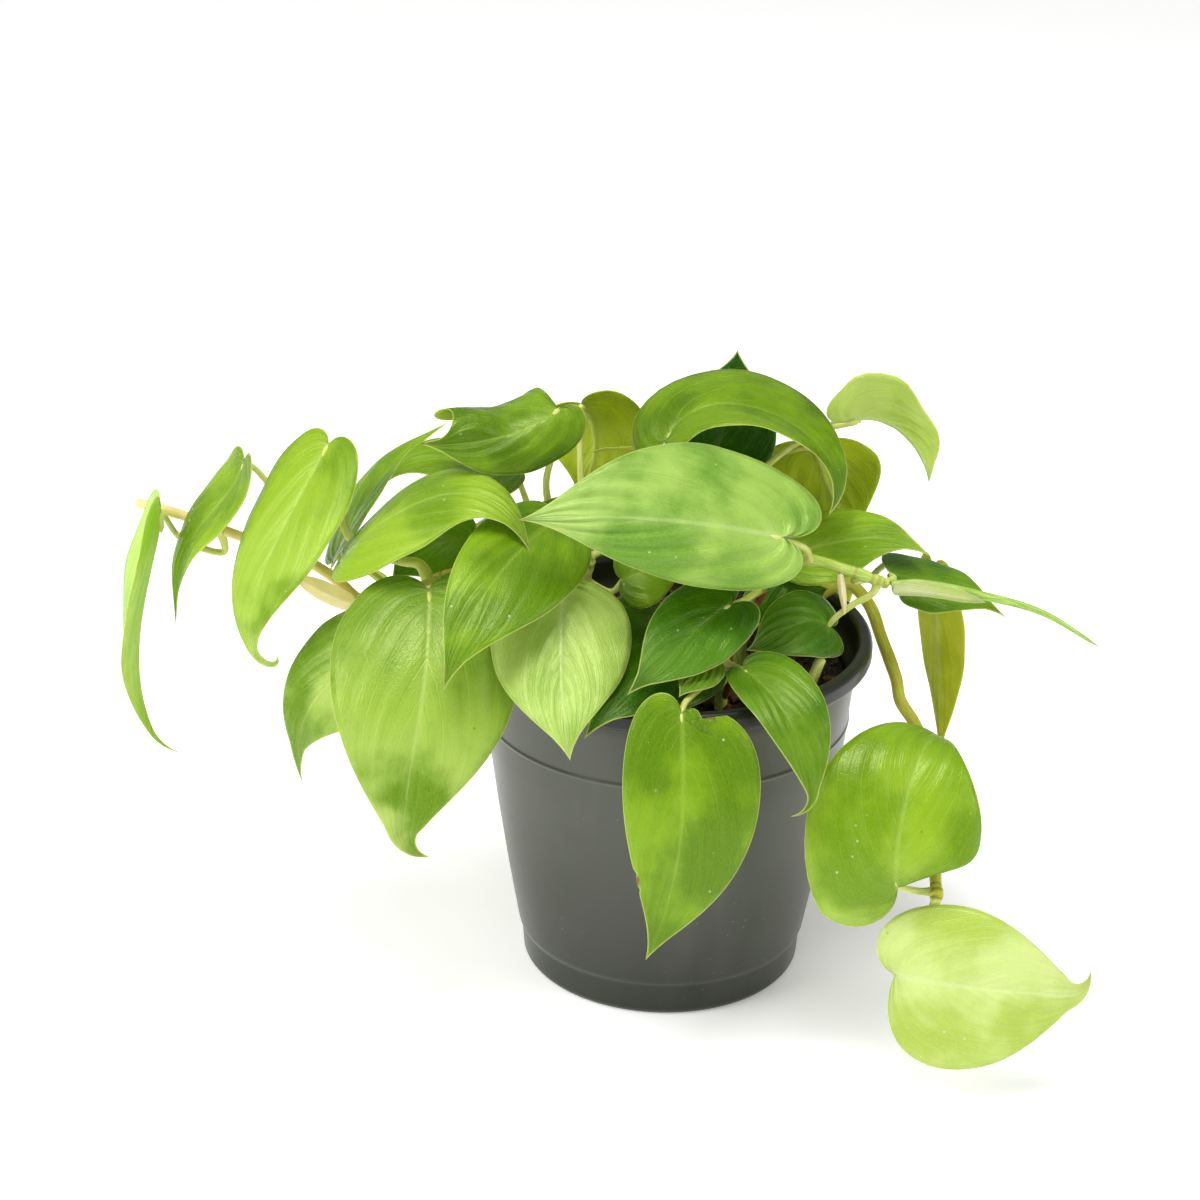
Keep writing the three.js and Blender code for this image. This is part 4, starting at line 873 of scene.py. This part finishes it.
def blade_shell(blade, rib, sides, thickness, ridge, folds, wounds=()):
    """A closed sheet over the rows: two faces, thinner towards the margin, joined round the outline.
    On top the midrib is a groove, and below it is a ridge that fades out before the tip. The side
    veins are lines of one vein number, the row's share of all rows less a part of the way across,
    and the sheet sinks by folds mm along SIDE_FOLDS of them per unit, as a cosine. Returns points,
    faces, material numbers, and for each point (u, share across, vein) and (mm from the rib, mm
    from the margin, how near to a wound)."""
    across = np.r_[-SHARES[:0:-1], SHARES]
    side = (across < 0).astype(int)
    edges = np.stack(sides)[side].transpose(1, 0, 2)
    share = np.abs(across)[None, :]
    u = rib[:, None] + (edges[..., 0] - rib[:, None]) * share
    v = np.sign(across)[None, :] * edges[..., 1] * share
    u = np.concatenate([[0.0], u.ravel(), [1.0]])
    v = np.concatenate([[0.0], v.ravel(), [0.0]])
    middle, outward = blade.at(u, v)
    share = np.concatenate([[0.0], np.repeat(share, len(rib), 0).ravel(), [1.0]])
    row = np.concatenate([[0.0], np.repeat(np.linspace(0, 1, len(rib)), len(across)), [1.0]])
    vein = row - VEIN_SLANT * (0.7 * share + 0.3 * share ** 2)
    sunk = np.cos(2 * np.pi * SIDE_FOLDS * vein) * np.sin(np.pi * share) * np.clip((1 - u) * 4, 0, 1)
    middle = middle + outward * (folds * sunk)[:, None]
    half = blade.half[(v < 0).astype(int)]
    from_rib = np.abs(v) * half
    to_edge = np.abs(edges[..., 1]) * np.repeat((1 - np.abs(across))[None, :], len(rib), 0)
    from_margin = np.concatenate([[0.0], to_edge.ravel(), [0.0]]) * half
    body = EDGE_THICKNESS + (thickness - EDGE_THICKNESS) * np.clip(from_margin / EDGE_TAPER, 0, 1)
    fade = np.clip(1.08 - u, 0, 1) * np.clip((u + 0.02) * 30, 0, 1)
    groove = GROOVE_DEPTH * np.exp(-(from_rib / GROOVE_WIDTH) ** 2) * fade
    keel = ridge * np.exp(-(from_rib / (0.35 + 0.65 * fade)) ** 2) * fade
    top = middle + outward * (body / 2 - groove)[:, None]
    under = middle - outward * (body / 2 + keel)[:, None]
    count = len(middle)
    wound = np.zeros(count)
    for wounded, wound_u, wound_v, reach in wounds:
        away = np.hypot((u - wound_u) * blade.length, (np.abs(v) - wound_v) * half)
        wound = np.maximum(wound, np.exp(-(away / reach) ** 2) * ((v < 0) == wounded))
    rows, columns = len(rib), len(across)
    faces = grid_faces(rows, columns, start=1)
    end, last = count - 1, 1 + (rows - 1) * columns
    for j in range(columns - 1):
        faces += [(0, 2 + j, 1 + j), (last + j, last + j + 1, end)]
    flipped = [tuple(count + corner for corner in face[::-1]) for face in faces]
    left = [0, *range(1, end, columns), end]
    right = [0, *range(columns, end, columns), end]
    rim = [(a, b, b + count, a + count) for a, b in zip(left[:-1], left[1:])]
    rim += [(b, a, a + count, b + count) for a, b in zip(right[:-1], right[1:])]
    kinds = [0] * len(faces) + [1] * len(flipped) + [1] * len(rim)
    leaf_place = np.tile(np.stack([u, share, vein], -1), (2, 1))
    leaf_size = np.tile(np.stack([from_rib, from_margin, wound], -1), (2, 1))
    return np.concatenate([top, under]), faces + flipped + rim, kinds, leaf_place, leaf_size


STALK_RADIUS = 1.4
# how deep the stalk lies under the rib where the blade begins and a little further on, in mm
STALK_DEPTHS = [[1.0], [1.6]]


def stalk_of(form, blade):
    """The stalk's curve from inside its vine to under the midrib, its radii, and its place on the vine.
    It thins evenly to the blade, and swells as a bell at either end."""
    path = VINES[form["on"]][2]
    (vine, _), elbow = smooth_curve(path), np.asarray(form["petiole"][0], float)
    nearest = int(np.argmin(np.linalg.norm(vine - elbow, axis=1)))
    under_rib = blade.axes(np.array([0.0, 0.07]))
    ends = under_rib[0] - under_rib[2] * STALK_DEPTHS
    curve, _ = smooth_curve([vine[nearest], *form["petiole"], *ends.tolist()], step=1.0)
    share = np.linspace(0, 1, len(curve))
    swell = 1 + 0.45 * np.exp(-(share / 0.10) ** 2) + 0.16 * np.exp(-((1 - share) / 0.07) ** 2)
    size = form.get("stalk", STALK_RADIUS)
    return curve, size * (1 - 0.28 * share) * swell * np.clip((1 - share) / 0.03, 0.25, 1), nearest


# Leaf skin: side veins that arch steeply towards the tip, a pale midrib, a thin cream edge that rusts
# in places, streaks and clouds of two greens, a mosaic of small cells, specks, and brown wounds.
RUST, WITHERED = (0.42, 0.19, 0.05, 1), (0.20, 0.085, 0.022, 1)
skin, given = new_group("leaf_skin", ("Base", "Shade", "Vein", "Edge"), ("Gloss",))
on_leaf = skin.place()
rib_share, _, vein_number = skin.split(skin.mark("leaf_place"))
from_rib, from_margin, wound = skin.split(skin.mark("leaf_size"))
clouds = skin.noise(on_leaf, 32.0, 4.0)
wobble = skin.noise(on_leaf, 130.0, 3.0)
cell_walls = skin.band(skin.cells(on_leaf, 620.0, "DISTANCE_TO_EDGE"), 0.16, 0.02)
vein_number = skin.plus(vein_number, skin.times(skin.math("SUBTRACT", wobble, 0.5), 0.010))
streaks = skin.noise(skin.add("CombineXYZ", {
    0: skin.times(vein_number, 15.0), 1: skin.times(rib_share, 2.2),
    2: skin.times(skin.split(on_leaf)[0], 12.0)}), 1.0, 3.0)


def vein_lines(count, outer, inner):
    """1 on each of count lines per unit of vein number, falling to 0 between inner and outer."""
    part = skin.math("FRACT", skin.times(vein_number, count))
    return skin.band(skin.math("ABSOLUTE", skin.math("SUBTRACT", part, 0.5)), outer, inner)


strong = vein_lines(2.0 * SIDE_FOLDS, 0.07, 0.01)
fine = vein_lines(46.0, 0.40, 0.05)
rib_widths = skin.math("DIVIDE", from_rib, skin.band(rib_share, -0.05, 0.95, 1.15, 0.35))
midrib = skin.times(skin.band(rib_widths, 1.3, 0.3), skin.band(rib_share, 0.55, 1.0, 1.0, 0.25))
# fade is painted light and shade along the rib: paler with the vein green, darker below 0 with the second
# green
fade = skin.mark("fade", "Fac")
# each layer: its mask, its strength, its colour
LAYERS = [
    (skin.math("MAXIMUM", fade, 0.0), 1.0, given["Vein"]),
    (skin.math("MAXIMUM", skin.times(fade, -1.0), 0.0), 1.0, given["Shade"]),
    (skin.band(clouds, 0.40, 0.62), 1.0, given["Shade"]),
    (skin.band(streaks, 0.42, 0.72), 0.04, given["Vein"]),
    (skin.band(streaks, 0.50, 0.30), 0.15, given["Shade"]),
    (cell_walls, 0.06, given["Vein"]),
    (skin.times(fine, wobble), 0.04, given["Vein"]),
    (strong, 0.05, given["Vein"]),
    (skin.band(rib_widths, 6.0, 0.6), 0.08, given["Vein"]),
    (midrib, 0.28, given["Vein"]),
    (skin.band(from_margin, 0.38, 0.12), 0.55, given["Edge"]),
    (skin.times(skin.band(wobble, 0.60, 0.72), skin.band(from_margin, 0.6, 0.1)), 0.6, RUST),
]
tint = given["Base"]
for mask, strength, colour in LAYERS:
    tint = skin.mix(skin.times(mask, strength), tint, colour)
# pale and brown specks: cells per metre, their size, the clouds that they lie in, strength, colour
for scale, reach, within, amount, colour in ((150.0, 0.085, (0.52, 0.60), 0.5, (0.78, 0.82, 0.62, 1)),
                                             (95.0, 0.050, (0.46, 0.40), 0.8, (0.24, 0.10, 0.02, 1))):
    speck = skin.times(skin.band(skin.cells(on_leaf, scale), reach, 0.6 * reach), skin.band(clouds, *within))
    tint = skin.mix(skin.times(speck, amount), tint, colour)
withered = skin.band(skin.plus(wound, skin.times(wobble, 0.5)), 0.55, 0.85)
relief = skin.times(streaks, 1.3)
for part, depth in ((strong, -0.25), (fine, -0.06), (cell_walls, -0.12), (wobble, 0.5)):
    relief = skin.plus(relief, skin.times(part, depth))
put_out(skin, Color=skin.mix(withered, tint, WITHERED),
        Roughness=skin.plus(given["Gloss"], skin.times(skin.plus(clouds, streaks), 0.10)), Height=relief)

# tone: upper side, its second green, its veins, under side and that one's second green
TONES = {
    "pale": ("c8da84", "aac050", "e2ecb4", "c8d884", "b8c86c"),
    "milky": ("a4c154", "84a838", "d4e2a0", "b8cc74", "a8be60"),
    "silver": ("9cc052", "669628", "ccdf96", "b4c85c", "a4ba48"),
    "lime": ("b2dc50", "98c838", "d8f090", "c0e450", "a6d03a"),
    "soft": ("92b03c", "628812", "c4d67c", "b0c040", "9cae30"),
    "light": ("90b220", "6a9004", "b8d464", "bad066", "a2bc48"),
    "fresh": ("7aa008", "567e00", "a6c64a", "e0e430", "c0c818"),
    "mid": ("6e9202", "4c7000", "96b83a", "b6c408", "98a804"),
    "deep": ("60880e", "3e6a00", "84a836", "849610", "728608"),
    "dark": ("467a00", "2e5e00", "6a9428", "64800c", "567206"),
    "black": ("1a5200", "103e00", "447418", "4c6608", "425a04"),
}
MARGIN_GREEN, UNDER_VEIN = "d0dc7c", "d4e0a0"
BLADE_FLESH = juicy(0.25, (0.004, 0.006, 0.001), 0.3)
UPPER_SHINE = {**BLADE_FLESH, "Specular IOR Level": 0.45, "Specular Tint": (0.92, 1.0, 0.5, 1.0)}
UNDER_SHINE = {**BLADE_FLESH, "Specular IOR Level": 0.2, "Specular Tint": (0.9, 1.0, 0.4, 1.0)}


def leaf_colours(base, shade, vein, edge, gloss):
    """The values that the leaf skin takes."""
    return {"Base": base, "Shade": shade, "Vein": vein, "Edge": edge, "Gloss": gloss}


leaf_materials = {}
for tone, (upper, second, vein, lower, lower_second) in TONES.items():
    leaf_materials[tone] = [
        material_with("leaf_upper_" + tone, "leaf_skin",
                      leaf_colours(upper, second, vein, MARGIN_GREEN, 0.17), UPPER_SHINE, bump=0.00024),
        material_with("leaf_under_" + tone, "leaf_skin",
                      leaf_colours(lower, lower_second, UNDER_VEIN, MARGIN_GREEN, 0.42), UNDER_SHINE,
                      bump=0.00035),
        stem_materials["pale"]]

BLADE_THICKNESS, BLADE_RIDGE, BLADE_FOLDS = 0.5, 0.75, 0.28
# every leaf without its own fade is painted a little paler towards the tip, as painted light
BLADE_PAINTED_LIGHT = (0.0, 0.15)
STALK_SIDES = 14
vine_nodes = {name: [] for name in VINES}
for number, (short_name, form) in enumerate(LEAVES.items()):
    name = "leaf_" + short_name
    blade = Blade(form, np.random.default_rng(100 + number))
    rib, sides = heart_rows(form)
    folds, wounds = form.get("folds", BLADE_FOLDS), form.get("wounds", ())
    points, faces, kinds, leaf_place, leaf_size = blade_shell(
        blade, rib, sides, BLADE_THICKNESS, BLADE_RIDGE, folds, wounds)
    curve, radii, nearest = stalk_of(form, blade)
    stalk_points, stalk_faces, stalk_around = tube(curve, radii, STALK_SIDES, start=len(points))
    blank = np.zeros((len(stalk_points), 3))
    painted_light_and_shade = np.interp(leaf_place[:, 0], (0, 1), form.get("fade", BLADE_PAINTED_LIGHT))
    new_piece(name + "_blade", np.concatenate([points, stalk_points]), faces + stalk_faces,
              leaf_materials[form["tone"]], "leaf", name, kinds + [2] * len(stalk_faces),
              leaf_place=np.concatenate([leaf_place, blank]), leaf_size=np.concatenate([leaf_size, blank]),
              stalk=np.concatenate([np.zeros((len(points), 3)), stalk_around]),
              fade=np.concatenate([painted_light_and_shade, blank[:, 0]]))
    vine_nodes[form["on"]].append(nearest)

# The vines themselves, now that the places of their leaves are known: at each the vine swells by
# NODE_SWELL mm, and SCAR_BACK mm before it has a narrow, scarred waist, all as bells along the vine.
VINE_SIDES = 24
NODE_SWELL, SCAR_WAIST, SCAR_BACK = 0.40, 0.22, 2.4
for name, (radii, kind, path) in VINES.items():
    curve, length = smooth_curve(path)
    share = np.linspace(0, 1, len(curve))
    run = share * length
    radius = radii[0] + (radii[1] - radii[0]) * share
    scar = np.zeros(len(curve))
    for nearest in vine_nodes[name]:
        offset = run - run[nearest]
        radius = radius + NODE_SWELL * np.exp(-(offset / 2.6) ** 2)
        radius = radius - SCAR_WAIST * np.exp(-((offset + SCAR_BACK) / 0.55) ** 2)
        scar = scar + np.exp(-((offset + SCAR_BACK) / 0.8) ** 2)
    phase = np.random.default_rng(len(name) * 7 + 3).uniform(0, 6.28, 2)
    radius = radius + 0.06 * np.sin(run / 3.1 + phase[0]) + 0.05 * np.sin(run / 7.7 + phase[1])
    radius = radius * np.clip((1 - share) * length / 1.4 + 0.35, 0.35, 1)
    points, faces, around = tube(curve, radius, VINE_SIDES)
    new_piece(name + "_bark", points, faces, [stem_materials[kind]], "stem", name, stalk=around,
              scar=np.concatenate([[0], np.repeat(scar, VINE_SIDES), [0]]))


# The sheaths and the shoot: thin papery scales that wrapped a young leaf, held by the node, some
# already dried brown; and the newest leaf, still rolled into a green spindle inside its scale.
# Each sheath: half width in mm, fold, curl, material, rib, where its upper side looks.
SHEATHS = {
    "sheath_left": (6, 20, 50, "pale", [
        (-114.5, -9.2, 144.8), (-122, -12.5, 149), (-129, -13, 153), (-137, -12, 157)], (0, 0.9, -0.3)),
    "sheath_right": (4.6, 8, 75, "green", [
        (78.5, -24.2, 160.6), (89, -25.2, 161), (100, -26, 160), (112, -26.2, 158)], (0, 1, 0.1)),
    "sheath_front": (3, 40, 30, "dry", [
        (19.2, -46.9, 127.6), (20.5, -48.6, 131.5), (21.5, -49.6, 135.5), (22.4, -50.4, 139)], (0, 0.9, 0.2)),
    "sheath_small_right": (2.6, 40, 30, "pale", [
        (60.2, -20.9, 165.9), (60.6, -22.8, 161), (61.5, -23.5, 156), (62, -24, 151)], (0, 0.9, 0.2)),
    "sheath_dry": (2.4, 40, 30, "dry", [
        (29, -19, 147), (31, -19, 151), (33, -18, 154), (35, -18, 157)], (-0.5, 0.8, 0.2)),
}
SHEATH_CURVE = [(0, 0.5), (0.3, 1.1), (0.7, 0.9), (1, 0)]
SHEATH_ROWS = 30
SHEATH_WAVE = 0.25
SHEATH_THICKNESS, SHEATH_RIDGE, SHEATH_FOLDS = 0.4, 0.15, 0.05
SCALES = {
    # the pale scales glow faintly: painted light standing in for light that shines through them
    "pale": (("f4e8b0", "ecd88c", "f8f2cc", "f4dca0", 0.38),
             {**juicy(0.5, (0.006, 0.006, 0.003), 0.5), "Emission Color": "f6dc90", "Emission Strength": 0.2}),
    "green": (("ccdc84", "b0c85c", "e8f0bc", "e8ecb0", 0.38), juicy(0.5, (0.005, 0.006, 0.002), 0.5)),
    "dry": (("a8642c", "7a431c", "c98a4c", "5a3016", 0.6), {"Specular IOR Level": 0.3}),
}
scale_materials = {kind: material_with("scale_" + kind, "leaf_skin", leaf_colours(*colours), shine)
                   for kind, (colours, shine) in SCALES.items()}
margin = cubic(SHEATH_CURVE, np.arange(1, SHEATH_ROWS) / SHEATH_ROWS)
for number, (name, (half, fold, curl, kind, rib, face)) in enumerate(SHEATHS.items()):
    form = {"rib": rib, "face": [face], "half": half, "fold": fold, "curl": curl, "wave": SHEATH_WAVE}
    blade = Blade(form, np.random.default_rng(300 + number))
    points, faces, kinds, leaf_place, leaf_size = blade_shell(
        blade, margin[:, 0], [margin, margin], SHEATH_THICKNESS, SHEATH_RIDGE, SHEATH_FOLDS)
    slot = "dry_sheath" if kind == "dry" else "sheath"
    new_piece(name + "_scale", points, faces, [scale_materials[kind]] * 2, slot, name, kinds,
              leaf_place=leaf_place, leaf_size=leaf_size)

# the shoot: a tapering tube with a shallow groove, the rolled margin, that winds round it
SHOOT_PATH = [(78.6, -20.3, 161.3), (91, -21, 162), (110, -22, 159), (133, -23, 153), (155, -24, 140)]
SHOOT_SIDES = 24
GROOVE_TURN, GROOVE_SIZE, GROOVE_ANGLE = 2.2, 0.16, 22
curve, length = smooth_curve(SHOOT_PATH)
share = np.linspace(0, 1, len(curve))
spindle = (2.0 - 1.4 * share) * (1 + 0.12 * np.sin(share * 3.14))
spindle = spindle * np.clip((1 - share) * length / 6, 0.12, 1)
points, faces, around = tube(curve, spindle, SHOOT_SIDES)
angles = np.concatenate([[0], np.tile(np.arange(SHOOT_SIDES) * 360 / SHOOT_SIDES, len(curve)), [0]])
from_groove = (angles - around[:, 0] * GROOVE_TURN) % 360 - 180
centres = np.concatenate([curve[:1], np.repeat(curve, SHOOT_SIDES, 0), curve[-1:]])
rolled = 1 - GROOVE_SIZE * np.exp(-(from_groove / GROOVE_ANGLE) ** 2)
shoot_material = material_with(
    "shoot_green", "stem_skin", {"Base": "8fb83c", "Streak": "b9d470", "Scar": "7a6a2a"},
    juicy(0.15, (0.004, 0.006, 0.001), 0.35), bump=0.0003)
new_piece("shoot_spindle", centres + (points - centres) * rolled[:, None], faces, [shoot_material],
          "leaf", "shoot", stalk=around)


# The aerial roots: short brown pegs that grow from the nodes and dry where they meet no soil.
# Each: its vine, its place on it as a share, its direction, its length in mm.
ROOTS = [
    ("vine_right", 0.985, (-0.35, -0.3, -1.0), 9.0),
    ("vine_right", 0.62, (0.5, 0.2, -0.8), 4.0),
    ("vine_left", 0.52, (0.1, -0.3, -1.0), 4.5),
    ("vine_left", 0.50, (-0.3, 0.3, -1.0), 3.5),
    ("vine_left", 0.74, (0.2, 0.1, -1.0), 3.0),
    ("vine_top_right", 0.62, (-0.2, 0.3, -1.0), 3.5),
    ("vine_top_right", 0.85, (0.3, -0.2, -1.0), 3.0),
    ("vine_back", 0.70, (0.4, 0.5, -0.8), 5.0),
    ("stem_left_top", 0.80, (-0.6, -0.4, -0.6), 3.5),
    ("stem_centre", 0.55, (0.6, -0.5, -0.5), 3.0),
]
ROOT_SIDES = 12
# how much of a root's length, in mm, lies inside the vine
ROOT_INSET = 1.5
root_points, root_faces, root_around = np.zeros((0, 3)), [], np.zeros((0, 3))
for number, (vine, share, direction, reach) in enumerate(ROOTS):
    draw = np.random.default_rng(500 + number)
    axis, _ = smooth_curve(VINES[vine][2])
    start = axis[int(share * (len(axis) - 1))]
    aim = np.asarray(direction, float) / np.linalg.norm(direction)
    path = [start, start + aim * (ROOT_INSET + 0.35 * reach),
            start + aim * (ROOT_INSET + 0.7 * reach) + draw.normal(0, 0.5, 3),
            start + aim * (ROOT_INSET + reach) + draw.normal(0, 1.0, 3)]
    curve, _ = smooth_curve(path, step=0.4)
    along = np.linspace(0, 1, len(curve))
    radius = (0.85 - 0.45 * along) * (1 + 0.12 * np.sin(along * 19 + number))
    radius = radius * np.clip((1 - along) / 0.08, 0.2, 1)
    points, faces, around = tube(curve, radius, ROOT_SIDES, start=len(root_points))
    root_points, root_faces = np.concatenate([root_points, points]), root_faces + faces
    root_around = np.concatenate([root_around, around])
new_piece("aerial_roots", root_points, root_faces, [stem_materials["root"]], "stem", stalk=root_around)
